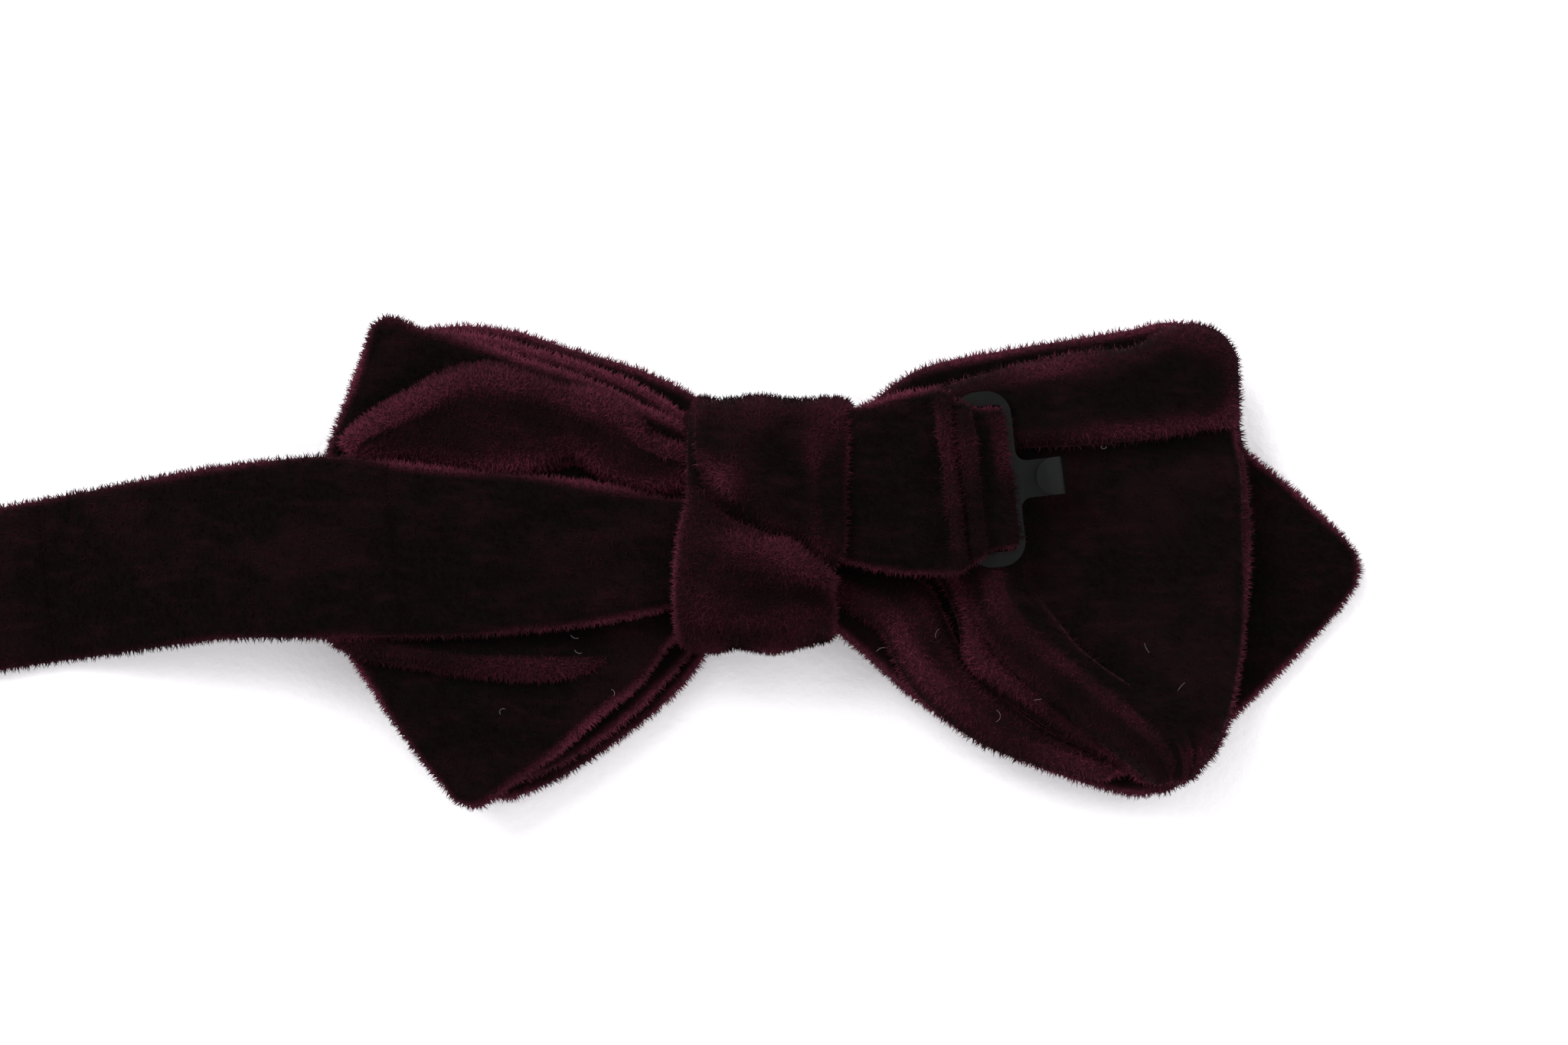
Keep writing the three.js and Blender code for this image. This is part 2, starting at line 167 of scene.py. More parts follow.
def spline(points, count, spread=0.0):
    """count places on a smooth curve through points; a spread above 0 crowds them towards both ends."""
    points = np.asarray(points, float)
    steps = np.sqrt(np.linalg.norm(np.diff(points, axis=0), axis=-1).reshape(len(points) - 1, -1)).mean(1)
    steps = steps + 1e-9
    knots = np.concatenate([[0], np.cumsum(steps)])
    flat = points.reshape(len(points), -1)
    slopes = (
        np.gradient(flat, knots, axis=0)
        if len(points) > 2
        else np.repeat(np.diff(flat, axis=0) / steps[0], 2, axis=0)
    )
    w = np.linspace(0, 1, count)
    at = ((1 - spread) * w + spread * 0.5 * (1 - np.cos(np.pi * w))) * knots[-1]
    i = np.clip(np.searchsorted(knots, at, side="right") - 1, 0, len(points) - 2)
    h = steps[i][:, None]
    x = (at - knots[i])[:, None] / h
    out = (
        (2 * x**3 - 3 * x**2 + 1) * flat[i]
        + (x**3 - 2 * x**2 + x) * h * slopes[i]
        + (3 * x**2 - 2 * x**3) * flat[i + 1]
        + (x**3 - x**2) * h * slopes[i + 1]
    )
    return out.reshape((count,) + points.shape[1:])


def loft(rows, along=72, across=44):
    """A fine grid through rows of points, each running along the cloth, from its low edge to its high one.

    Rows with equally many points meet point for point, so that a ridge keeps its course across them."""
    if len({len(row) for row in rows}) == 1:
        return spline(np.swapaxes(spline(np.array(rows), across, 0.8), 0, 1), along, 0.7)
    fine = np.array([spline(spline(row, 240), along, 0.7) for row in rows])
    return np.swapaxes(spline(fine, across, 0.8), 0, 1)


def ripple(grid, size, height, seed):
    """Soft, seeded waves over space, of about this size and height in millimetres."""
    rng = np.random.default_rng(seed)
    total = np.zeros(grid.shape[:-1])
    for _ in range(8):
        way = rng.normal(size=3)
        way *= rng.uniform(0.6, 1.5) / np.linalg.norm(way) / (size * MM)
        total += np.sin(2 * np.pi * (grid @ way) + rng.uniform(0, 2 * np.pi))
    return height * MM * total / 2


def normals(grid):
    n = np.cross(np.gradient(grid, axis=0), np.gradient(grid, axis=1))
    return n / np.maximum(np.linalg.norm(n, axis=-1, keepdims=True), 1e-12)


def edge_distance(grid, axis):
    """How far each place is from the nearer of two opposite edges, measured along the cloth."""
    steps = np.linalg.norm(np.diff(grid, axis=axis), axis=-1)
    run = np.cumsum(steps, axis=axis)
    run = np.insert(run, 0, 0, axis=axis)
    whole = run[-1:] if axis == 0 else run[:, -1:]
    return np.minimum(run, whole - run)


def rounding(distance, radius):
    inward = np.clip(distance / radius, 0, 1)
    return np.sqrt(np.maximum(0, 1 - (1 - inward) ** 2))


def fold_curve(grid, up):
    """How sharply the cloth is folded, from -1 in a valley to 1 along a ridge."""
    total = 0
    for axis in (0, 1):
        way, turn = np.gradient(grid, axis=axis), np.gradient(up, axis=axis)
        length = np.maximum((way**2).sum(-1), 1e-12)
        total = total + (way * turn).sum(-1) / length
    for axis in (0, 1, 0, 1):
        near = np.pad(total, [(1, 1) if a == axis else (0, 0) for a in (0, 1)], mode="edge")
        after, before = (near.take(range(first, first + total.shape[axis]), axis) for first in (2, 0))
        total = (after + 2 * total + before) / 4
    return np.clip(total * FOLD_LIGHT, -1, 1)


class Cloth:
    """Closed layers of cloth that become one mesh."""

    def __init__(self):
        self.points, self.faces, self.opening, self.butted, self.count = [], [], [], [], 0

    def add(self, grid, half=0.95, cut_ends=False, rim=1.5, wave=0.25, size=9.0, seed=0, painted_layer_light=0.0, glow=1.25):
        """A layer about a grid, this many millimetres thick on each side of it, rounded off at its edges.

        The layer's lift paints its whole colour lighter (darker below zero), and glow paints its edges lighter: both
        are painted light, kept with the painted ridge light."""
        edge = edge_distance(grid, 1)
        share = rounding(edge, rim * MM)
        if not cut_ends:
            share = share * rounding(edge_distance(grid, 0), rim * MM)
            edge = np.minimum(edge, edge_distance(grid, 0))
        up = normals(grid)
        grid = grid + up * ripple(grid, size, wave, seed)[..., None]
        # painted light: the colour is painted lighter near the edges and along ridges, unevenly at random, and over the
        # whole layer by its lift
        uneven = np.clip(EVEN_LIGHT + ripple(grid, 16, UNEVEN_LIGHT, seed + 40) / MM, 0.4, 1.0)
        rim_light = glow * uneven * np.exp(-((edge / EDGE_LIGHT) ** 2)) + painted_layer_light
        ridge = RIDGE_LIGHT * uneven * fold_curve(grid, normals(grid)) + painted_layer_light
        out = up * (half * MM * share)[..., None]
        top, bottom = grid + out, grid - out
        nu, nv = grid.shape[:2]
        upper = np.arange(nu * nv).reshape(nu, nv)
        lower = upper.copy()
        inside = np.ones((nu, nv), bool)
        inside[:, [0, -1]] = False
        if not cut_ends:
            inside[[0, -1]] = False
        lower[inside] = nu * nv + np.arange(inside.sum())
        quads = [quads_of(upper), quads_of(lower)[:, ::-1]]
        self.butted.append(np.zeros(len(quads[0]) + len(quads[1]), bool))
        if cut_ends:
            quads += [wall(upper[0], lower[0]), wall(upper[-1], lower[-1])[:, ::-1]]
            self.butted.append(np.ones(len(quads[2]) + len(quads[3]), bool))
        # painted light per point: on top from the edges and ridges, underneath from the edges and from the layer's lift
        # less the ridge
        self.opening += [np.maximum(rim_light, ridge).ravel(), np.maximum(rim_light, painted_layer_light * 2 - ridge)[inside]]
        self.points.append(np.concatenate([top.reshape(-1, 3), bottom[inside]]))
        self.faces.append(np.concatenate(quads) + self.count)
        self.count += len(self.points[-1])
        return self

    def mesh(self, name):
        points, faces = np.concatenate(self.points), np.concatenate(self.faces)
        mesh = bpy.data.meshes.new(name)
        corners = [[v for i, v in enumerate(face) if v != face[i - 1]] for face in faces.tolist()]
        mesh.from_pydata(points.tolist(), [], corners)
        mesh.shade_smooth()
        # the painted edge, ridge and layer light, which lightens the velvet's colour and crowds its pile
        opening = mesh.attributes.new("opening", "FLOAT", "POINT")
        opening.data.foreach_set("value", np.concatenate(self.opening).astype(np.float32))
        butted = mesh.attributes.new("sharp_face", "BOOLEAN", "FACE")
        butted.data.foreach_set("value", np.concatenate(self.butted))
        return mesh


def quads_of(index):
    corners = [index[:-1, :-1], index[1:, :-1], index[1:, 1:], index[:-1, 1:]]
    return np.stack(corners, axis=-1).reshape(-1, 4)


def wall(upper, lower):
    return np.stack([upper[:-1], upper[1:], lower[1:], lower[:-1]], axis=-1)


# ---------------------------------------------------------------- materials


class Nodes:
    """A node tree that is written top down: each call adds a node and wires its inputs."""

    def __init__(self, tree):
        self.tree = tree
        tree.nodes.clear()

    def add(self, kind, values=None, **settings):
        node = self.tree.nodes.new(kind)
        for key, value in settings.items():
            setattr(node, key, value)
        for key, value in (values or {}).items():
            self.set(node.inputs[key], value)
        return node

    def set(self, socket, value):
        if isinstance(value, bpy.types.NodeSocket):
            self.tree.links.new(value, socket)
        elif isinstance(value, bpy.types.Node):
            self.tree.links.new(next(s for s in value.outputs if s.enabled), socket)
        else:
            socket.default_value = value

    def noise(self, where, scale, detail=2.0, rough=0.5, distortion=0.0):
        return self.add(
            "ShaderNodeTexNoise",
            {"Vector": where, "Scale": scale, "Detail": detail, "Roughness": rough, "Distortion": distortion},
        ).outputs["Fac"]

    def spread(self, value, low, high, to_low=0.0, to_high=1.0):
        """value from low..high to to_low..to_high, smoothly and held at both ends."""
        return self.add(
            "ShaderNodeMapRange",
            {"Value": value, "From Min": low, "From Max": high, "To Min": to_low, "To Max": to_high},
            interpolation_type="SMOOTHSTEP",
        ).outputs["Result"]

    def blend(self, share, first, second):
        node = self.add("ShaderNodeMix", data_type="RGBA")
        for index, value in ((0, share), (6, first), (7, second)):
            self.set(node.inputs[index], value)
        return node.outputs[2]

    def sum(self, kind, first, second):
        node = self.add("ShaderNodeMath", operation=kind)
        self.set(node.inputs[0], first)
        self.set(node.inputs[1], second)
        return node.outputs[0]

    def places(self):
        return self.add("ShaderNodeTexCoord").outputs["Object"]

    def named(self, name, kind):
        return self.add("GeometryNodeInputNamedAttribute", {"Name": name}, data_type=kind).outputs[0]

    def stretched(self, where, sizes, turn=0.0):
        return self.add("ShaderNodeMapping", {"Vector": where, "Scale": sizes, "Rotation": (0, 0, turn)})


def socket_values(node, values):
    for key, value in values.items():
        node.inputs[key].default_value = value


def group(name, inputs, outputs):
    """A shader node group with these named sockets: {name: (kind, default)} in and {name: kind} out."""
    tree = bpy.data.node_groups.new(name, "ShaderNodeTree")
    for socket, (kind, default) in inputs.items():
        made = tree.interface.new_socket(socket, in_out="INPUT", socket_type=kind)
        made.default_value = default
    for socket, kind in outputs.items():
        tree.interface.new_socket(socket, in_out="OUTPUT", socket_type=kind)
    nodes = Nodes(tree)
    return tree, nodes, nodes.add("NodeGroupInput").outputs, nodes.add("NodeGroupOutput").inputs


def nap_and_painted_light_group():
    """Velvet's colour: broad patches as of brushing, small clumps and single hairs, painted towards a highlight colour
    wherever painted light comes in.
    """
    tree, nodes, given, out = group(
        "Velvet nap and painted light",
        {
            "Deep": ("NodeSocketColor", (0.01, 0.002, 0.005, 1)),
            # painted light: the more of it a place gets, the more it is painted in this highlight colour
            "Painted highlight": ("NodeSocketColor", (0.08, 0.01, 0.03, 1)),
            "Painted light": ("NodeSocketFloat", 0.0),
            "Patch size": ("NodeSocketFloat", 90.0),
            "Patch share": ("NodeSocketFloat", 0.05),
        },
        {"Color": "NodeSocketColor", "Height": "NodeSocketFloat", "Roughness": "NodeSocketFloat"},
    )
    where = nodes.places()
    patches = nodes.spread(nodes.noise(where, given["Patch size"], 3.0, 0.55, 0.6), 0.42, 0.68)
    streaks = nodes.noise(nodes.stretched(where, (0.5, 1.6, 1.0), 0.11), 420.0, 2.0, 0.6)
    clumps = nodes.noise(where, 1500.0, 2.0, 0.6)
    hairs = nodes.noise(where, 5200.0, 1.0, 0.5)
    tone_and_painted_light = nodes.sum("MULTIPLY", patches, given["Patch share"])
    tone_and_painted_light = nodes.sum("ADD", tone_and_painted_light, nodes.spread(streaks, 0.45, 0.8, 0.0, 0.06))
    # painted light: edges, ridges and lifted layers are painted lighter here
    tone_and_painted_light = nodes.sum("ADD", tone_and_painted_light, nodes.spread(given["Painted light"], 0.05, 1.1, 0.0, 0.66))
    mottle_and_painted_light = nodes.sum("MULTIPLY", nodes.spread(clumps, 0.3, 0.7, 0.55, 1.3), nodes.sum("MAXIMUM", tone_and_painted_light, 0.0))
    mottle_and_painted_light = nodes.sum("MINIMUM", mottle_and_painted_light, 1.0)
    nodes.set(out["Color"], nodes.blend(mottle_and_painted_light, given["Deep"], given["Painted highlight"]))
    nodes.set(out["Height"], nodes.sum("ADD", clumps, nodes.sum("MULTIPLY", hairs, 0.6)))
    nodes.set(out["Roughness"], nodes.spread(clumps, 0.3, 0.7, 0.75, 1.0))
    return tree


def weave_group():
    """A plain weave: warp and weft threads passing over each other, painted darker where they dip (painted shade) and
    at random slubs.
    """
    tree, nodes, given, out = group(
        "Plain weave",
        {"Thread": ("NodeSocketColor", (0.3, 0.26, 0.22, 1)), "Threads per metre": ("NodeSocketFloat", 1600.0)},
        {"Color": "NodeSocketColor", "Height": "NodeSocketFloat"},
    )
    where = nodes.places()
    waves = []
    for direction in ("X", "Y"):
        waves.append(
            nodes.add(
                "ShaderNodeTexWave",
                {"Vector": where, "Scale": given["Threads per metre"], "Distortion": 0.6, "Detail": 1.0},
                bands_direction=direction,
            ).outputs["Fac"]
        )
    height = nodes.sum("MAXIMUM", *waves)
    slubs = nodes.noise(where, 700.0, 3.0, 0.6)
    # painted shade: threads are painted darker where they dip under the crossing ones; the slubs darken them at random
    dark = nodes.add("ShaderNodeHueSaturation", {"Value": 0.45, "Color": given["Thread"]})
    nodes.set(out["Color"], nodes.blend(nodes.sum("MULTIPLY", height, slubs), dark, given["Thread"]))
    nodes.set(out["Height"], height)
    return tree


def wear_group():
    """Handling marks: fine scratches rubbed lighter, and dull smudges."""
    tree, nodes, given, out = group(
        "Handling wear",
        {
            "Finish": ("NodeSocketColor", (0.003, 0.0032, 0.0032, 1)),
            "Rubbed": ("NodeSocketColor", (0.03, 0.03, 0.028, 1)),
            "Polish": ("NodeSocketFloat", 0.25),
        },
        {"Color": "NodeSocketColor", "Roughness": "NodeSocketFloat", "Height": "NodeSocketFloat"},
    )
    where = nodes.places()
    scratches = nodes.noise(nodes.stretched(where, (1.0, 14.0, 1.0), 0.4), 900.0, 2.0, 0.7)
    smudges = nodes.noise(where, 260.0, 3.0, 0.6)
    grain = nodes.noise(where, 6000.0, 1.0)
    rub = nodes.spread(scratches, 0.66, 0.8, 0.0, 0.5)
    nodes.set(out["Color"], nodes.blend(rub, given["Finish"], given["Rubbed"]))
    nodes.set(out["Roughness"], nodes.sum("ADD", given["Polish"], nodes.spread(smudges, 0.35, 0.7, -0.04, 0.2)))
    nodes.set(out["Height"], nodes.sum("ADD", scratches, nodes.sum("MULTIPLY", grain, 0.3)))
    return tree


def surface_material(name, effect, effect_values, shader_values, bump, depth):
    """A Principled material whose colour, roughness and bump come from one of the shared groups."""
    material = bpy.data.materials.new(name)
    material.use_nodes = True
    nodes = Nodes(material.node_tree)
    marks = nodes.add("ShaderNodeGroup", node_tree=effect)
    socket_values(marks, effect_values)
    # painted light: the painted edge, ridge and layer light stored on the cloth lightens its colour
    if "Painted light" in marks.inputs:
        opening = nodes.add("ShaderNodeAttribute", attribute_name="opening")
        nodes.set(marks.inputs["Painted light"], opening.outputs["Fac"])
    shader = nodes.add("ShaderNodeBsdfPrincipled", {"Base Color": marks.outputs["Color"]})
    socket_values(shader, shader_values)
    if "Roughness" in marks.outputs:
        nodes.set(shader.inputs["Roughness"], marks.outputs["Roughness"])
    raised = nodes.add("ShaderNodeBump", {"Height": marks.outputs["Height"], "Strength": bump, "Distance": depth})
    nodes.set(shader.inputs["Normal"], raised.outputs["Normal"])
    nodes.add("ShaderNodeOutputMaterial", {"Surface": shader})
    return material


def make_materials(finish):
    # the velvet is painted towards the raised colour where painted light falls, and its pile towards a colour 2.3 times
    # lighter, a painted glow on the tufts
    deep, raised = (*finish.velvet_deep, 1), (*finish.velvet_painted_highlight, 1)
    painted_pile_highlight = (*(2.3 * part for part in finish.velvet_painted_highlight), 1)
    nap, weave, wear = nap_and_painted_light_group(), weave_group(), wear_group()
    sheen = {"Sheen Weight": 1.0, "Sheen Roughness": 0.32, "Sheen Tint": (*finish.sheen, 1)}
    surface_material(
        "Burgundy velvet", nap, {"Deep": deep, "Painted highlight": raised},
        {**sheen, "Specular IOR Level": 0.02}, 0.35, 0.0004,
    )
    surface_material(
        "Velvet pile", nap, {"Deep": deep, "Painted highlight": painted_pile_highlight, "Patch share": 0.06},
        {**sheen, "Specular IOR Level": 0.03}, 0.1, 0.0002,
    )
    surface_material(
        "Canvas interlining", weave, {"Thread": (0.33, 0.27, 0.22, 1)},
        {"Roughness": 0.9, "Sheen Weight": 0.2, "Specular IOR Level": 0.15}, 0.6, 0.0002,
    )
    surface_material(
        "Sewing thread", weave, {"Thread": (0.06, 0.006, 0.02, 1), "Threads per metre": 5200.0},
        {"Roughness": 0.7, "Sheen Weight": 0.1, "Specular IOR Level": 0.1}, 0.5, 0.0001,
    )
    surface_material(
        "Black metal", wear, {},
        {"Metallic": 0.0, "Coat Weight": 0.05, "Coat Roughness": 0.1, "Specular IOR Level": 0.05}, 0.08, 0.00004,
    )
    surface_material(
        "Lint", weave, {"Thread": (0.24, 0.17, 0.18, 1), "Threads per metre": 4000.0},
        {"Roughness": 0.8}, 0.1, 0.00005,
    )


def material(name):
    return bpy.data.materials[name]


# ---------------------------------------------------------------- pile, stitches and placing


def geometry_tree(name, inputs):
    """A geometry node tree with a geometry in and out, and these named inputs: {name: (kind, default)}."""
    tree = bpy.data.node_groups.new(name, "GeometryNodeTree")
    tree.interface.new_socket("Geometry", in_out="INPUT", socket_type="NodeSocketGeometry")
    for socket, (kind, default) in inputs.items():
        made = tree.interface.new_socket(socket, in_out="INPUT", socket_type=kind)
        if default is not None:
            made.default_value = default
    tree.interface.new_socket("Geometry", in_out="OUTPUT", socket_type="NodeSocketGeometry")
    nodes = Nodes(tree)
    return tree, nodes, nodes.add("NodeGroupInput").outputs, nodes.add("NodeGroupOutput").inputs


def put_on_points(nodes, given, out, points, shape, rotation, turn, size):
    """Put a shape on every point, turned from its rotation, and give out one solid mesh of the given material."""
    turned = nodes.add(
        "FunctionNodeRotateRotation", {"Rotation": rotation, "Rotate By": turn}, rotation_space="LOCAL"
    ).outputs[0]
    placed = nodes.add(
        "GeometryNodeInstanceOnPoints", {"Points": points, "Instance": shape, "Rotation": turned, "Scale": size}
    )
    solid = nodes.add("GeometryNodeRealizeInstances", {"Geometry": placed})
    finished = nodes.add("GeometryNodeSetMaterial", {"Geometry": solid, "Material": given["Material"]})
    nodes.set(out["Geometry"], finished)


def pile_tree():
    """Short pointed tufts all over the open side of the cloth; cloth that faces more cloth gets none."""
    tree, nodes, given, out = geometry_tree(
        "Velvet pile",
        {
            "Tufts per square metre": ("NodeSocketFloat", 8e6),
            "On the flat": ("NodeSocketFloat", 0.55),
            "Length": ("NodeSocketFloat", 0.9 * MM),
            "Root": ("NodeSocketFloat", 0.17 * MM),
            "Lean": ("NodeSocketFloat", 0.5),
            "Clearance": ("NodeSocketFloat", 1.6 * MM),
            "Seed": ("NodeSocketInt", 1),
            "Material": ("NodeSocketMaterial", None),
        },
    )
    # the painted edge, ridge and layer light also crowds the tufts there
    opening = nodes.named("opening", "FLOAT")
    crowd = nodes.spread(opening, 0.05, 0.5, given["On the flat"], 2.2)
    butted = nodes.named("sharp_face", "BOOLEAN")
    crowd = nodes.sum("MULTIPLY", crowd, nodes.sum("SUBTRACT", 1.0, butted))
    spread = nodes.add(
        "GeometryNodeDistributePointsOnFaces",
        {
            "Mesh": given["Geometry"], "Seed": given["Seed"],
            "Density": nodes.sum("MULTIPLY", crowd, given["Tufts per square metre"]),
        },
    )
    way = spread.outputs["Normal"]
    here = nodes.add("GeometryNodeInputPosition").outputs[0]
    kept = nodes.add(
        "GeometryNodeStoreNamedAttribute",
        {"Geometry": spread.outputs["Points"], "Name": "nap", "Value": way},
        data_type="FLOAT_VECTOR", domain="POINT",
    )
    nap = nodes.named("nap", "FLOAT_VECTOR")
    start = nodes.add("ShaderNodeVectorMath", {0: nap}, operation="SCALE")
    start.inputs["Scale"].default_value = 0.05 * MM
    start = nodes.add("ShaderNodeVectorMath", {0: here, 1: start.outputs[0]}, operation="ADD").outputs[0]
    covered = nodes.add(
        "GeometryNodeRaycast",
        {
            "Target Geometry": given["Geometry"], "Source Position": start,
            "Ray Direction": nap, "Ray Length": given["Clearance"],
        },
    ).outputs["Is Hit"]
    points = nodes.add("GeometryNodeDeleteGeometry", {"Geometry": kept, "Selection": covered}, domain="POINT")
    tuft = nodes.add(
        "GeometryNodeMeshCone",
        {"Vertices": 3, "Radius Top": 0.0, "Radius Bottom": given["Root"], "Depth": given["Length"]},
        fill_type="NGON",
    ).outputs["Mesh"]
    lean = nodes.sum("MULTIPLY", given["Lean"], -1.0)
    low = nodes.add("ShaderNodeCombineXYZ", {"X": lean, "Y": lean, "Z": 0.0})
    high = nodes.add("ShaderNodeCombineXYZ", {"X": given["Lean"], "Y": given["Lean"], "Z": 6.28})
    turn = nodes.add("FunctionNodeRandomValue", data_type="FLOAT_VECTOR")
    for socket, value in ((0, low), (1, high)):
        nodes.set(turn.inputs[socket], value)
    nodes.set(turn.inputs["Seed"], given["Seed"])
    straight = nodes.add("FunctionNodeAlignRotationToVector", {"Vector": nap}, axis="Z")
    size = nodes.add("FunctionNodeRandomValue", data_type="FLOAT")
    size.inputs[2].default_value, size.inputs[3].default_value = 0.4, 1.4
    nodes.set(size.inputs["Seed"], given["Seed"])
    put_on_points(nodes, given, out, points, tuft, straight.outputs[0], turn.outputs[0], size.outputs[1])
    return tree


def made_by(name, source, tree, values):
    """A plain mesh object, made by a geometry node tree from a source mesh."""
    maker = new_object(name, source)
    modifier = maker.modifiers.new("Make", "NODES")
    modifier.node_group = tree
    for item in tree.interface.items_tree:
        if item.in_out == "INPUT" and item.name in values:
            modifier[item.identifier] = values[item.name]
    maker.update_tag()
    bpy.context.view_layer.update()
    graph = bpy.context.evaluated_depsgraph_get()
    mesh = bpy.data.meshes.new_from_object(maker.evaluated_get(graph), depsgraph=graph)
    maker.modifiers.clear()
    maker.data = mesh
    mesh.name = name
    return maker


def new_object(name, mesh, finish=None):
    piece = bpy.data.objects.new(name, mesh)
    bpy.context.scene.collection.objects.link(piece)
    if finish:
        mesh.materials.clear()
        mesh.materials.append(material(finish))
    return piece


def grow_pile(piece, seed):
    """The velvet's pile, as a piece of its own: its hairs take their shading from the cloth under them."""
    finish = bpy.context.scene.bow_tie_velvet
    wanted = finish.tufts_per_mm2 * 1e6
    most = MOST_TUFTS / sum(face.area for face in piece.data.polygons)
    pile = made_by(
        piece.name + "_pile",
        piece.data.copy(),
        bpy.data.node_groups["Velvet pile"],
        {
            "Tufts per square metre": float(min(wanted, most * COVERED)),
            "Length": finish.pile_length,
            "Root": finish.tuft_root,
            "Lean": finish.lean,
            "Seed": seed,
            "Material": material("Velvet pile"),
        },
    )
    mesh = pile.data
    way = np.zeros(len(mesh.vertices) * 3, np.float32)
    mesh.attributes["nap"].data.foreach_get("vector", way)
    way = way.reshape(-1, 3)
    rng = np.random.default_rng(seed)
    tilt = np.repeat(rng.normal(0, finish.scatter, (len(way) // 4 + 1, 3)), 4, axis=0)[: len(way)]
    # light comes through the hairs from above, so those at an edge are lit as if they leant up
    way = way + tilt + LIT_FROM_ABOVE * np.clip(1 + way[:, 2:], 0, 1)
    way /= np.linalg.norm(way, axis=1, keepdims=True)
    mesh.shade_smooth()
    mesh.normals_split_custom_set_from_vertices(way.tolist())
    mesh.attributes.remove(mesh.attributes["nap"])
    return pile


class Ride:
    """How a piece moves: with one body; a piece given two bodies is baked in place and moves with neither, and its
    start and end along the strap are not used.
    """

    def __init__(self, *bodies, start=None, end=None):
        self.bodies, self.start, self.end = bodies, start, end

    def __call__(self, piece):
        if len(self.bodies) == 1:
            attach(piece, self.bodies[0])
        else:
            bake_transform(piece)


def settle(mesh):
    """Press whatever hangs lowest towards the table, smoothly, so nothing goes through it."""
    points = np.zeros(len(mesh.vertices) * 3, np.float32)
    mesh.vertices.foreach_get("co", points)
    high = points.reshape(-1, 3)[:, 2]
    pressed = TABLE_ROOM * np.exp(np.minimum(high, TABLE_ROOM) / TABLE_ROOM - 1)
    high[:] = np.where(high < TABLE_ROOM, pressed, high)
    mesh.vertices.foreach_set("co", points)


def velvet_piece(name, cloth, ride, replaces, seed):
    """A finished piece of velvet with its pile, standing for its CAD solids."""
    piece = new_object(name, cloth.mesh(name), "Burgundy velvet")
    pile = grow_pile(piece, seed)
    for part in (piece, pile):
        settle(part.data)
        ride(part)
    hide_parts(*replaces)
    return piece


def canvas_piece(name, cloth, ride, replaces):
    """The thin woven interlining between the velvet faces of a piece."""
    piece = new_object(name, cloth.mesh(name), "Canvas interlining")
    ride(piece)
    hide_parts(*replaces)


# ---------------------------------------------------------------- the wings


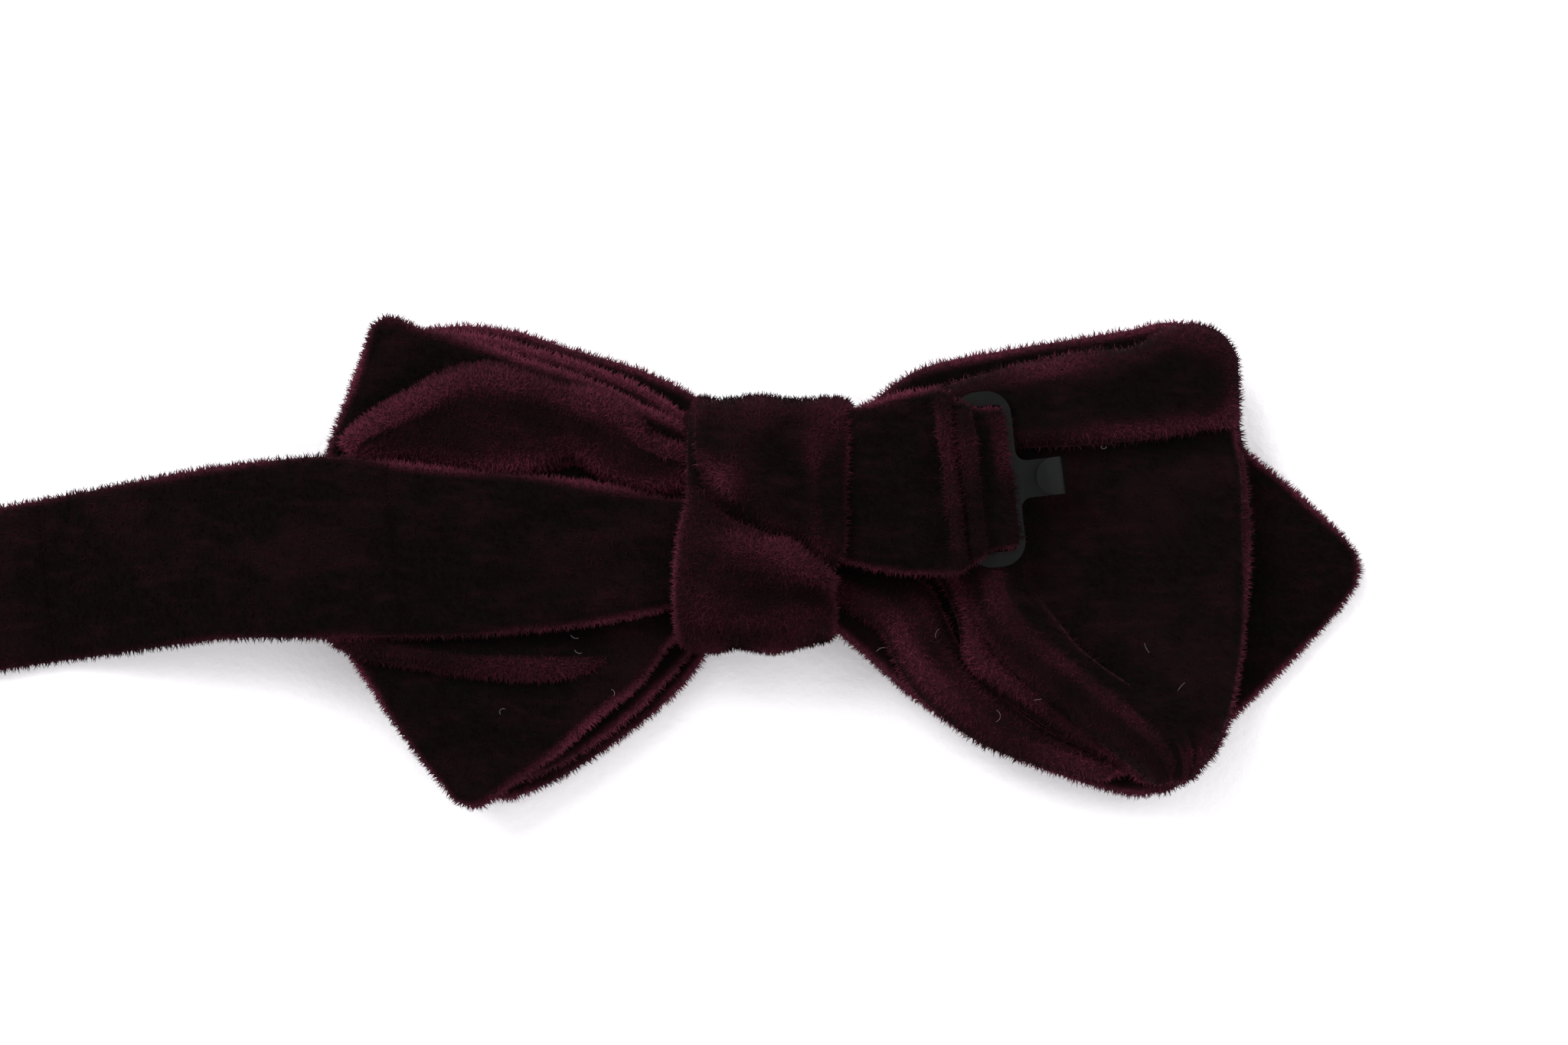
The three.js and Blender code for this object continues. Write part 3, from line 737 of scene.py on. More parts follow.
def wing_grids():
    """Every layer of the two wings, each as rows from its low edge to its high edge.

    On the right a row runs from the knot outwards, and on the left it runs towards the knot."""
    loop, left = Span("back_loop"), Span("back_point")
    return {
        "back_loop": [
            # the lower ply, with its end turned up into the fold
            loft(loop.net([
                [(0, 46, 9.4), (12.1, 34.5, 7.5), (20.3, 28.3, 6.2), (35.1, 17.1, 6), (53.1, 7.5, 6),
                 (69.6, 1.9, 6), (78.5, 1, 6.3), (84, 1.5, 7.7)],
                [(0, 50, 9.4), (15, 42, 7.4), (30, 33, 6), (60, 20, 6), (85, 13, 6), (92, 12, 6.6),
                 (95, 12, 8.2)],
                [(0, 56, 9.4), (15, 53, 7.2), (50, 46, 6), (92, 44, 6), (98.5, 44, 6.6), (100.3, 44, 8.4)],
                [(0, 64, 9.4), (15, 66, 7.4), (40, 72, 6), (80, 76, 6), (96, 77, 6.2), (99, 77, 8.4)],
                [(0, 70, 9.4), (9, 76, 7.6), (17.9, 82.3, 6.8), (29.6, 90.1, 6.8), (47.5, 94.1, 6.8),
                 (61.4, 96.2, 6.8), (76, 98.6, 7), (83, 100, 7.2), (90, 99.4, 7.8), (95, 97.5, 8.8)],
            ]), 90, 56),
            # the main panel, with its near edge rolled up, a valley, and its far corner turned up
            loft(loop.net([
                [(82, 2.4, 9.6), (83, 3, 10.6), (84, 3.4, 10.8), (85, 3.5, 10.6), (86, 3.5, 10.4),
                 (86.6, 3.4, 10.2), (87, 3.3, 10), (87.4, 3.2, 9.6)],
                [(77, 6.6, 9.6), (78.6, 8.6, 12.4), (81.4, 10, 13), (84.4, 10, 12.2), (86.4, 9.8, 12),
                 (88, 9.5, 11.6), (90, 9.4, 10.6), (91.3, 9.5, 9)],
                [(61.4, 17.9, 9.2), (63, 20.6, 12.4), (66.6, 23, 13.4), (71, 23.4, 12.2), (77, 20.4, 11.8),
                 (86, 18.4, 11.8), (93, 18, 11), (96.6, 18.5, 8.8)],
                [(50, 26.7, 8.8), (51.3, 29.2, 12.2), (54.6, 32.2, 13.5), (59.4, 33.4, 11.4), (65, 29.4, 9),
                 (80, 29.8, 10.4), (94, 30.4, 10.4), (99.5, 30.5, 8.4)],
                [(43.3, 36, 8.6), (44.5, 37.8, 12), (47.6, 40.4, 13.4), (52.4, 42, 11), (58, 41, 8.6),
                 (76, 40, 8.6), (95, 39.5, 9.8), (100.2, 40, 8.4)],
                [(40.5, 46, 8.6), (41.7, 47, 11.8), (44.8, 49, 13.2), (49.2, 50.6, 10.8), (56, 51, 8.8),
                 (75, 52, 8.8), (95, 53, 9.8), (100.2, 53, 8.4)],
                [(36, 57, 8.8), (37.2, 59, 11.6), (40, 61, 12.6), (45, 62.6, 10.8), (56, 63, 9.2),
                 (76, 65, 9.2), (95, 66, 9.8), (99.7, 66, 8.4)],
                [(10, 58, 10.2), (16, 60, 10.6), (24, 64, 10.8), (34, 69, 10.4), (50, 72, 9.4),
                 (72, 74, 9.2), (92, 75, 9.4), (98.6, 75.5, 8.4)],
                [(4, 62, 10), (12, 65, 10), (22, 70, 10), (34, 77, 9.6), (50, 81, 9.2), (72, 83, 9),
                 (92, 84, 9), (97.6, 84, 8.6)],
            ]), 96, 80),
            # the pleat laid along the top, whose fold opens out near the corner
            loft(loop.net([
                [(1, 63, 10.4), (22.2, 70, 10.4), (38.7, 73.4, 10.4), (50, 74.8, 10.4), (61.4, 74.9, 10.4),
                 (76.3, 76.4, 10.2), (88, 78.2, 10.1), (96.5, 79.2, 9.6)],
                [(1, 65, 10.8), (22, 72.2, 12), (38.7, 75.4, 12.4), (61, 76.8, 12.5), (76, 78.2, 12.4),
                 (89, 79.9, 12.2), (96, 80.6, 11.4), (98.4, 80.8, 10)],
                [(1, 67, 10.8), (22, 75.5, 12.1), (39, 79.4, 12.6), (60, 82.5, 12.7), (76, 85, 12.7),
                 (89, 87.5, 12.8), (96, 88, 12), (98.6, 88, 10.2)],
                [(1, 69.5, 10.8), (22.2, 80, 11.8), (32.6, 83.2, 12.2), (53, 88, 12.5), (65.5, 90.6, 12.6),
                 (75.5, 91.2, 12.6), (80.5, 93, 12.8), (84, 95.4, 13), (90, 95.8, 12.8), (95.6, 93.6, 11.4),
                 (97.4, 92.6, 9.8)],
                [(1, 71, 10.4), (22.2, 81.9, 10.4), (32.6, 85, 10.2), (53.1, 89.8, 10), (65.5, 92.4, 10),
                 (75, 93, 10), (79.5, 95, 10), (83.5, 97.6, 10), (90, 98.6, 10), (95, 96.8, 9.6)],
            ]), 80, 48),
            # the folds that fan out of the knot under the rolled edge
            loft(loop.net([
                [(4, 46, 8.6), (14.6, 40.1, 7.6), (22.4, 35.3, 7.4), (25.1, 28.5, 7.4), (29.6, 21.9, 7.2),
                 (36, 16.6, 7), (45, 11.4, 7), (56, 7.4, 7), (70, 4, 7.2)],
                [(4, 48, 10), (15.5, 42.6, 9.8), (24.2, 37.6, 10.1), (28, 30.4, 10.2), (32.6, 24.4, 9.8),
                 (38.6, 18.8, 9.2), (47, 13.2, 8.8), (58, 8.8, 8.6), (72, 5, 8.4)],
                [(4, 51, 9.6), (17, 46, 9.4), (28, 40.4, 9.6), (31.2, 34.4, 9.8), (35.6, 27.4, 9.4),
                 (41, 21.6, 9), (49.6, 15, 8.6), (60, 9.8, 8.4), (74, 5.2, 8.2)],
                [(4, 55, 8.8), (19, 51, 7.8), (31, 44, 7.4), (36, 36, 7.4), (40, 28.6, 7.2),
                 (44.6, 23.6, 7.2), (53, 16.6, 7.2), (63, 10.8, 7.2), (76, 5.6, 7.4)],
            ]), 72, 36),
            loft(loop.net([
                [(25, 56, 8.4), (34, 46.6, 7.6), (38.6, 37, 7.4), (40, 28.4, 7.4), (44.6, 23.6, 7.2),
                 (52, 18.8, 7.4), (61, 13.4, 7.6), (73, 7.4, 7.8), (80, 3.8, 8)],
                [(26, 58, 9.4), (37.6, 47.6, 10), (41.6, 37.6, 10.1), (42.8, 30, 10.2), (47.6, 26.2, 10.1),
                 (55.4, 20.8, 10), (64, 15.2, 9.8), (75, 9, 9.6), (82, 4.6, 9.2)],
                [(28, 60, 8.8), (41.4, 48.8, 8.6), (45.4, 38.6, 8.6), (47, 32, 8.6), (51.4, 27.4, 8.6),
                 (58.4, 22, 8.6), (67, 16.6, 8.6), (77, 10.4, 8.6), (84, 5.2, 8.6)],
            ]), 72, 30),
        ],
        "front_point": [
            loft(loop.net([
                [(0, 44, 4.9), (12, 36, 2.6), (30, 20, 1.7), (52, 9.4, 1.6), (74, 0.8, 1.6),
                 (79.4, 0.2, 1.6), (84, 3.4, 1.6), (95.1, 13.4, 1.7), (112.5, 29.7, 1.8),
                 (122.5, 40.6, 1.7), (125.4, 45, 1.6)],
                [(0, 50, 4.9), (20, 40, 2), (50, 30, 1.8), (80, 24, 2), (100, 34, 2.4), (120, 44, 2),
                 (126, 46.6, 1.7)],
                [(0, 57, 4.9), (20, 58, 2), (60, 54, 2), (95, 50, 2.6), (120, 48, 2.2), (126.4, 48, 1.7)],
                [(0, 63, 4.9), (20, 70, 2), (50, 76, 1.8), (76, 78, 2), (98, 66, 2.4), (118, 53, 2.2),
                 (126, 49.6, 1.7)],
                [(0, 69, 4.9), (12, 77, 2.6), (30, 86, 1.7), (52, 93, 1.6), (70, 96.6, 1.6),
                 (76, 95.4, 1.6), (99.8, 74.3, 1.7), (114.8, 62.3, 1.8), (122.6, 54.9, 1.7), (125.6, 51, 1.6)],
            ]), 96, 60),
        ],
        "back_point": [
            loft(left.net([
                [(35.4, 1.6, 9.6), (40, 0.4, 9.8), (47.2, 5.4, 9.9), (56, 11.1, 9.9), (66.2, 19.6, 9.9),
                 (73.5, 25.3, 9.9), (81, 34.6, 9.8), (99, 44, 9.8)],
                [(25.2, 13.9, 9.6), (35, 13, 9.8), (50, 18, 9.8), (66, 28, 9.9), (80, 40, 9.9), (99, 48, 9.8)],
                [(11.3, 33.8, 9.7), (30, 32, 9.9), (60, 40, 9.9), (80, 48, 9.8), (99, 53, 9.8)],
                [(1.5, 48.6, 9.8), (5, 50, 9.8), (30, 52, 9.9), (60, 56, 9.8), (99, 58, 9.8)],
                [(8.5, 72.7, 9.6), (30, 72, 9.9), (60, 70, 9.9), (99, 64, 9.8)],
                [(13.6, 86.3, 9.7), (35, 86, 10), (60, 80, 10.1), (99, 68, 9.9)],
                [(17.8, 98, 9.9), (21, 99.8, 10), (28, 97.4, 10.2), (41.3, 94, 10.4), (51.5, 90.4, 10.6),
                 (62.5, 87, 10.6), (73.5, 81.9, 10.5), (83.4, 77.4, 10.4), (99, 68, 10)],
            ]), 84, 84),
            # the dome-shaped fold above the band
            loft(left.net([
                [(12.5, 71.4, 10.6), (22.3, 70.6, 10.6), (37, 69.4, 10.6), (54.5, 69.6, 10.6),
                 (61.5, 71, 10.6), (67.6, 67.6, 10.6), (74, 64.6, 10.6), (84, 65, 10.6)],
                [(12.5, 72.6, 11.6), (22.3, 73, 12), (37, 71.6, 12.4), (50, 71.4, 12.4), (60, 73.4, 12.4),
                 (67.6, 69.6, 12.4), (74, 66.8, 12.2), (84, 67.4, 11.8)],
                [(14, 73.6, 12), (23, 77, 13), (37, 80, 13.5), (50, 79.6, 13.5), (62, 77.6, 13.3),
                 (71, 73.8, 13), (84, 70, 12)],
                [(12.6, 73.6, 12), (19, 78, 12.8), (27.6, 82, 13.6), (34, 85.2, 14.1), (41, 86.7, 14.2),
                 (51.5, 84.9, 14), (59, 82.8, 13.8), (66.2, 81.2, 13.6), (71, 78, 13.2), (75, 74, 12.8),
                 (84, 71, 12)],
                [(11, 73.4, 10.8), (18.5, 79.8, 10.8), (27.4, 84.1, 11), (33.3, 87.6, 11), (38.4, 89.2, 11),
                 (44.2, 89, 11), (51.5, 86.9, 11), (58.9, 84.7, 11), (66.2, 83.3, 11), (72.1, 79.8, 11),
                 (75.6, 75.6, 11), (84, 72.4, 10.8)],
            ]), 80, 50),
            # the small pleat showing below the band
            loft(left.net([
                [(8, 36, 9.8), (13, 32.8, 10.6), (22.3, 30, 10.6), (37, 27.6, 10.6), (51.5, 27.2, 10.3),
                 (62.5, 27.8, 9.7), (72, 29, 8.8)],
                [(8, 38, 10.4), (13, 34.6, 11.6), (22.3, 31.8, 11.9), (37, 29.4, 12), (51.5, 28.8, 11.6),
                 (62.5, 29.2, 10.6), (72, 30.6, 9.2)],
                [(8, 41, 10.2), (13, 38, 11.1), (30, 34, 11.2), (51.5, 32.6, 10.9), (62.5, 33, 10.2),
                 (72, 34.4, 9)],
                [(8, 46, 9.8), (30, 41, 10.2), (51.5, 40, 10), (72, 42, 8.8)],
            ]), 64, 26),
        ],
        "front_loop": [
            # one ply out to the fold, round it and back over itself
            loft(left.net([
                [(99, 44, 5.2), (89, 37.4, 2.6), (87.2, 31, 1.8), (80.9, 23.1, 1.6), (66.2, 11.7, 1.6),
                 (54, 4.6, 1.6), (44, 1.4, 1.6), (38, 4, 2), (35, 7, 3.8), (38, 6.5, 5.7), (46, 5, 6),
                 (58, 9.4, 6), (70, 17.5, 6), (82, 29, 6), (90, 40, 6.3), (99, 46, 6.6)],
                [(99, 48, 5.2), (85, 38, 2.2), (66, 25, 1.6), (45, 20, 1.6), (27, 20, 2), (24, 20.4, 3.8),
                 (27, 21, 5.7), (45, 22, 6), (66, 27, 6), (85, 40, 6), (99, 50, 6.6)],
                [(99, 56, 5.2), (80, 56, 1.8), (40, 50, 1.6), (15, 48, 2), (12, 48, 3.8), (15, 48, 5.7),
                 (40, 50, 6), (80, 56, 6), (99, 57, 6.6)],
                [(99, 66, 5.2), (85, 74, 2.2), (60, 80, 1.6), (30, 82, 1.6), (18.6, 82, 2), (16, 81, 3.8),
                 (18.6, 80, 5.7), (30, 80, 6), (60, 78, 6), (85, 72, 6), (99, 64, 6.6)],
                [(99, 72, 5.2), (91, 80.4, 2.8), (84.8, 84.2, 2), (73.5, 89.4, 1.8), (58.9, 93.6, 1.8),
                 (47.2, 97.2, 1.8), (35, 98.4, 1.8), (27, 97, 2.2), (22, 94, 4), (25, 94.6, 6),
                 (32, 96.6, 7), (41.3, 95.8, 7.8), (51.5, 93.2, 8), (62.5, 90, 8), (73.5, 85.8, 7.8),
                 (82, 80.6, 7.4), (91, 75, 6.8), (99, 68, 6.6)],
            ]), 150, 60),
        ],
    }


def wing_piece(name, layers, seed, flat, held, rests_on, canvas_layers=1, area=None, painted_layer_light=()):
    cloth = Cloth()
    for number, grid in enumerate(layers):
        lift = painted_layer_light[number] if number < len(painted_layer_light) else 0.0
        cloth.add(grid, half=CLOTH_HALF, wave=0.12, size=14, seed=seed + number, painted_layer_light=lift)
    velvet_piece(name + "_velvet", cloth, Ride("bow"), [name], seed)
    canvas = Cloth()
    for grid in layers[:canvas_layers]:
        canvas.add(grid[4:-4, 6:-6], half=0.22, rim=0.25, wave=0.0)
    canvas_piece(name + "_interlining", canvas, Ride("bow"), [name + "_canvas"])


# ---------------------------------------------------------------- the knot and the tab


def knot_layers():
    knot = Span("knot_wrap", inset=0.03)
    ring = []
    for across, width in ((5, 0.95), (25, 0.97), (50, 0.965), (72, 0.97), (90, 0.95)):
        loop = [
            (56, 1.9), (16, 1.7), (4.5, 4.5), (1.5, 9), (6, 13.6), (24, 16), (76, 16), (93, 14),
            (98.5, 9), (95, 4.5), (84, 1.7), (46, 2.3),
        ]
        ring.append([(across, 50 + (up - 50) * width, high) for up, high in loop])
    upper = [
        [(13.6, 78, 16.6), (19.5, 63.8, 16.4), (34.5, 49.7, 16.4), (50, 45.2, 16.4), (70.5, 37.2, 16.3),
         (90, 29.2, 16)],
        [(11.4, 83, 17.2), (27.3, 69, 18.8), (48, 58, 18.9), (64, 49, 18.6), (79, 44.6, 18.5), (86, 41, 18),
         (98, 38.8, 16.9)],
        [(10, 90, 17.2), (34, 82, 18.9), (57, 75.6, 18.8), (68, 71, 18.6), (80, 68, 18.5), (88, 66, 17.9),
         (100, 62.8, 16.9)],
        [(9.6, 97, 15.9), (38.6, 96, 17), (70.5, 95.4, 16.8), (102, 94, 15.8)],
        [(10, 101, 12), (43, 100.4, 12.2), (75, 100, 12.2), (103, 99.6, 12)],
        [(11.4, 99, 7), (75, 98.6, 7), (102, 98, 7)],
    ]
    lower = [
        [(2.3, 3.2, 6), (34, 2, 6), (66, 2, 6), (93, 5.6, 6)],
        [(0, 2, 12), (20.5, 0.6, 11.7), (34.5, 2.6, 12), (56, -0.6, 11.7), (75, 3.2, 12), (93, 6, 12)],
        [(-2, 11.5, 15.8), (29.5, 10.2, 17), (56.8, 10.9, 17.2), (75, 12.8, 17), (93, 15.4, 15.6)],
        [(-2, 27.5, 16.6), (20.5, 26, 18.2), (47.7, 24.4, 18.4), (70, 23, 18.6), (92, 20.8, 17)],
        [(0.9, 46.8, 16.6), (18, 43.6, 18.1), (38.6, 40.6, 19.2), (61.4, 38, 20.3), (79.5, 31.4, 20.1),
         (93.6, 25, 17.9)],
        [(10, 69.9, 16.2), (18.6, 62.8, 16.8), (34.5, 51.3, 17.2), (50, 47.4, 18), (64.1, 43.6, 18),
         (80.5, 34, 17.8), (92.3, 25, 17)],
    ]
    return [
        loft(knot.net(zip(*ring)), 40, 120),
        loft(knot.net(upper), 64, 64),
        loft(knot.net(lower), 64, 64),
    ]


def tab_layers():
    """The short strap: out of the knot, up over the hook's bar, down into its slot and back underneath."""
    low, high = STRAP.box("tab_strap")
    bar = STRAP.box("hook_plate")[0][0]
    wide = (low[1], high[1])
    path = [
        (6.2, 15.6, -7.6, 10.4), (12.7, 16.2, -9.8, 11.1), (17.7, 16.4, wide[0] + 0.4, wide[1] - 0.2),
        (bar - 2.6, 16.1, wide[0], wide[1]), (bar - 1.1, 17.5, wide[0] + 0.1, wide[1] - 0.1),
        (bar + 0.1, 16.5, -10.4, 10.6), (bar + 1.3, 17.6, -10, 10.2), (bar + 2.2, 16.2, -9.2, 9.4),
        (bar + 3, 15.6, -8.9, 9.1), (bar + 5, 15.5, -8.8, 9), (bar + 6, 14.9, -8.8, 9),
        (bar + 6.2, 13.7, -8.8, 9), (bar + 5, 12.9, -8.8, 9), (bar + 1, 12.8, -9.4, 9.6),
        (bar - 5, 12.9, -9.6, 9.8),
    ]
    rows = []
    for share, drop in ((0, 0.5), (0.08, 0.1), (0.5, 0), (0.92, 0.1), (1, 0.5)):
        rows.append([(s, a + (b - a) * share, z - drop) for s, z, a, b in path])
    return [loft(STRAP.net(rows), 130, 44)]


# ---------------------------------------------------------------- the neck band


class Band:
    """The neck band's course along the strap: its two edges and its middle height at every station."""

    def __init__(self):
        nodes = ["band_root"] + [f"neck_band_{n}" for n in range(1, 7)] + ["band_slack"]
        stations = {}
        for node in nodes:
            for s, t, z in STRAP.points_of(node):
                stations.setdefault(round(s * 2), []).append((s, t, z))
        rows = []
        for points in stations.values():
            s, t, z = np.array(points).T
            rows.append((s.mean(), t.min(), t.max(), (z.min() + z.max()) / 2))
        s, low, high, middle = np.array(sorted(rows)).T
        self.s = np.arange(s[0], s[-1], 0.5)
        smooth = np.exp(-(np.arange(-24, 25) / 8) ** 2)
        smooth /= smooth.sum()
        self.courses = []
        for values, inset in ((low, 0.35), (high, -0.35), (middle, 0)):
            fine = np.interp(self.s, s, values + inset)
            self.courses.append(np.convolve(np.pad(fine, 24, mode="edge"), smooth, "valid"))

    def grid(self, start, end):
        s = np.linspace(start, end, max(8, int(abs(end - start) / 1.1)))
        low, high, middle = (np.interp(s, self.s, course) for course in self.courses)
        share = 0.5 - 0.5 * np.cos(np.linspace(0, np.pi, 30))
        share = 0.55 * share + 0.45 * np.linspace(0, 1, 30)
        near = np.clip(1 - np.abs(s + 12) / 42, 0, 1)[:, None]
        t = low[:, None] + (high - low)[:, None] * share
        crease = 0.3 * near * np.cos(2 * np.pi * (t - 0.09 * s[:, None]) / 7.5)
        crown = 0.35 * np.sin(np.pi * share) ** 0.7
        z = middle[:, None] + crease + crown - 0.15
        s = np.repeat(s[:, None], 30, axis=1)
        return STRAP.place(np.stack([s, t, z], axis=-1))


def band_cuts():
    """Where one length of band meets the next: half-way between its bends."""
    bends = [STRAP.joint(f"band_bend_{n}") for n in range(1, 7)]
    start, end = STRAP.box("band_root")[1][0], STRAP.box("neck_band_6")[0][0]
    return bends, [start] + [(a + b) / 2 for a, b in zip(bends, bends[1:])] + [end]


# ---------------------------------------------------------------- the adjustable end


def strip(path, edges=(0.0, 0.06, 0.5, 0.94, 1.0), drops=(0.35, 0.05, 0, 0.05, 0.35), fine=(70, 30)):
    """A layer of strap along a path of (s, z, low t, high t), softly rounded across."""
    rows = [
        [(s, low + (high - low) * share, z - drop) for s, z, low, high in path]
        for share, drop in zip(edges, drops)
    ]
    return loft(STRAP.net(rows), *fine)


def end_paths():
    """The layers at the band's far end: the slack under the slider, the way back to it, and the turns over its bars."""
    slack, back, fold = (STRAP.box(node) for node in ("band_slack", "band_return", "band_end_fold"))
    hump, wrap = STRAP.box("band_hump"), STRAP.box("return_wrap")
    low, high = fold[0][1], fold[1][1]
    tip, root = fold[0][0], fold[1][0]
    return {
        "slack": [(slack[0][0] - 0.3, 1.5, low, high),
                  (slack[0][0] + 8, 1.5, slack[0][1] + 0.4, slack[1][1] - 0.4),
                  (slack[1][0] + 0.6, 1.5, slack[0][1] + 0.4, slack[1][1] - 0.4)],
        "return": [(back[0][0] - 0.3, 6.6, low, high), (back[0][0] + 6, 6.3, back[0][1], back[1][1]),
                   (back[1][0], 4.9, back[0][1], back[1][1])],
        "fold": [(root + 0.3, 1.5, low, high), (root - 5, 1.5, low, high), (tip + 2.4, 1.7, low, high),
                 (tip + 1.0, 4.1, low, high), (tip + 2.4, 6.4, low, high), (root - 5, 6.7, low, high),
                 (root + 0.3, 6.6, low, high)],
        "hump": [(hump[0][0] + 0.9, 4.2, hump[0][1], hump[1][1]),
                 (hump[0][0] + 2.2, 6.6, hump[0][1], hump[1][1]),
                 (hump[0][0] + 4, 7.6, hump[0][1], hump[1][1]), (hump[1][0] - 2.2, 6.6, hump[0][1], hump[1][1]),
                 (hump[1][0] - 0.9, 4.2, hump[0][1], hump[1][1])],
        "wrap": [(wrap[0][0] + 0.4, 5.0, wrap[0][1], wrap[1][1]), (wrap[0][0] + 6, 4.7, wrap[0][1], wrap[1][1]),
                 (wrap[1][0] - 2, 4.4, wrap[0][1], wrap[1][1]), (wrap[1][0] - 0.9, 5.7, wrap[0][1], wrap[1][1]),
                 (wrap[1][0] - 2, 7.2, wrap[0][1], wrap[1][1]), (wrap[0][0] + 6, 7.1, wrap[0][1], wrap[1][1]),
                 (wrap[0][0] + 0.4, 6.6, wrap[0][1], wrap[1][1])],
    }


# ---------------------------------------------------------------- stitches, hardware and lint


def stitch_tree():
    """Short round-ended stitches along a line, alternately a little turned."""
    tree, nodes, given, out = geometry_tree(
        "Stitches",
        {
            "Pitch": ("NodeSocketFloat", 2.2 * MM),
            "Stitch length": ("NodeSocketFloat", 1.5 * MM),
            "Thread": ("NodeSocketFloat", 0.2 * MM),
            "Seed": ("NodeSocketInt", 3),
            "Material": ("NodeSocketMaterial", None),
        },
    )
    line = nodes.add("GeometryNodeMeshToCurve", {"Mesh": given["Geometry"]})
    spots = nodes.add("GeometryNodeCurveToPoints", {"Curve": line, "Length": given["Pitch"]}, mode="LENGTH")
    stitch = nodes.add("GeometryNodeMeshUVSphere", {"Segments": 8, "Rings": 6, "Radius": 1.0})
    half = nodes.sum("MULTIPLY", given["Stitch length"], 0.5)
    sizes = nodes.add("ShaderNodeCombineXYZ", {"X": given["Thread"], "Y": given["Thread"], "Z": half})
    wobble = nodes.add("FunctionNodeRandomValue", data_type="FLOAT_VECTOR")
    wobble.inputs[0].default_value, wobble.inputs[1].default_value = (-0.14, -0.14, 0), (0.14, 0.14, 0)
    nodes.set(wobble.inputs["Seed"], given["Seed"])
    put_on_points(
        nodes, given, out, spots.outputs["Points"], stitch.outputs["Mesh"],
        spots.outputs["Rotation"], wobble.outputs[0], sizes,
    )
    return tree


def polyline(name, points):
    mesh = bpy.data.meshes.new(name)
    mesh.from_pydata([list(p) for p in points], [(i, i + 1) for i in range(len(points) - 1)], [])
    return mesh


def stitched_line(name, node, body, lift, seed):
    """A row of stitches across the strap, this many millimetres above the CAD seam that it stands for."""
    low, high = STRAP.box(node)
    points = [STRAP.place([(low[0] + high[0]) / 2, t, high[2] + lift]) for t in np.linspace(low[1], high[1], 12)]
    values = {"Seed": seed, "Material": material("Sewing thread")}
    piece = made_by(name, polyline(name, points), bpy.data.node_groups["Stitches"], values)
    piece.data.shade_smooth()
    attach(piece, body)
    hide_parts(node)


def eased_metal(node, finish, ease):
    """A stamped or sewn fitting with its sharp edges eased, standing for its CAD node."""
    mesh = frame["nodes"][node].data.copy()
    mesh.name = node + "_finished"
    shape = bmesh.new()
    shape.from_mesh(mesh)
    bmesh.ops.remove_doubles(shape, verts=shape.verts, dist=0.002 * MM)
    bmesh.ops.dissolve_limit(shape, angle_limit=math.radians(1), verts=shape.verts, edges=shape.edges)
    shape.to_mesh(mesh)
    shape.free()
    piece = new_object(node + "_finished", mesh, finish)
    bevel = piece.modifiers.new("Eased edges", "BEVEL")
    bevel.width, bevel.segments, bevel.limit_method = ease, 3, "ANGLE"
    bevel.angle_limit = math.radians(40)
    bpy.context.view_layer.update()
    graph = bpy.context.evaluated_depsgraph_get()
    piece.data = bpy.data.meshes.new_from_object(piece.evaluated_get(graph), depsgraph=graph)
    piece.modifiers.clear()
    piece.data.shade_smooth()
    piece.data.set_sharp_from_angle(angle=math.radians(35))
    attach(piece, BODY_OF[node])
    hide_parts(node)


def lint_piece(name, nodes_under, count, seed, body):
    """A few stray pale fibres lying on the pile."""
    rng = np.random.default_rng(seed)
    points, faces = [], []
    for _ in range(count):
        low, high = (np.array(c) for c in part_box(nodes_under[rng.integers(len(nodes_under))]))
        start = low + (high - low) * np.array([*rng.uniform(0.15, 0.85, 2), 1.0]) + np.array([0, 0, 2.1 * MM])
        way = rng.uniform(0, 2 * np.pi)
        bend = rng.uniform(-3.4, 3.4)
        length = rng.uniform(0.9, 2.4) * MM
        ring = []
        for step in range(9):
            angle = way + bend * step / 8
            start = start + np.array([math.cos(angle), math.sin(angle), rng.uniform(-0.15, 0.15)]) * length / 9
            radius = 0.017 * MM * (1 - 0.5 * (step in (0, 8)))
            side = np.array([-math.sin(angle), math.cos(angle), 0])
            for turn in range(4):
                a = turn * math.pi / 2
                points.append(start + radius * (side * math.cos(a) + np.array([0, 0, 1]) * math.sin(a)))
            ring.append(len(points) - 4)
        for a, b in zip(ring, ring[1:]):
            faces += [(a + i, a + (i + 1) % 4, b + (i + 1) % 4, b + i) for i in range(4)]
        faces += [tuple(range(ring[0] + 3, ring[0] - 1, -1)), tuple(range(ring[-1], ring[-1] + 4))]
    mesh = bpy.data.meshes.new(name)
    mesh.from_pydata([p.tolist() for p in points], [], faces)
    piece = new_object(name, mesh, "Lint")
    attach(piece, body)


# ---------------------------------------------------------------- settings


def length(name, description, default):
    return bpy.props.FloatProperty(
        name=name, description=description, default=default, subtype="DISTANCE", unit="LENGTH"
    )


def colour(name, description, default):
    return bpy.props.FloatVectorProperty(
        name=name, description=description, default=default, subtype="COLOR", size=3
    )


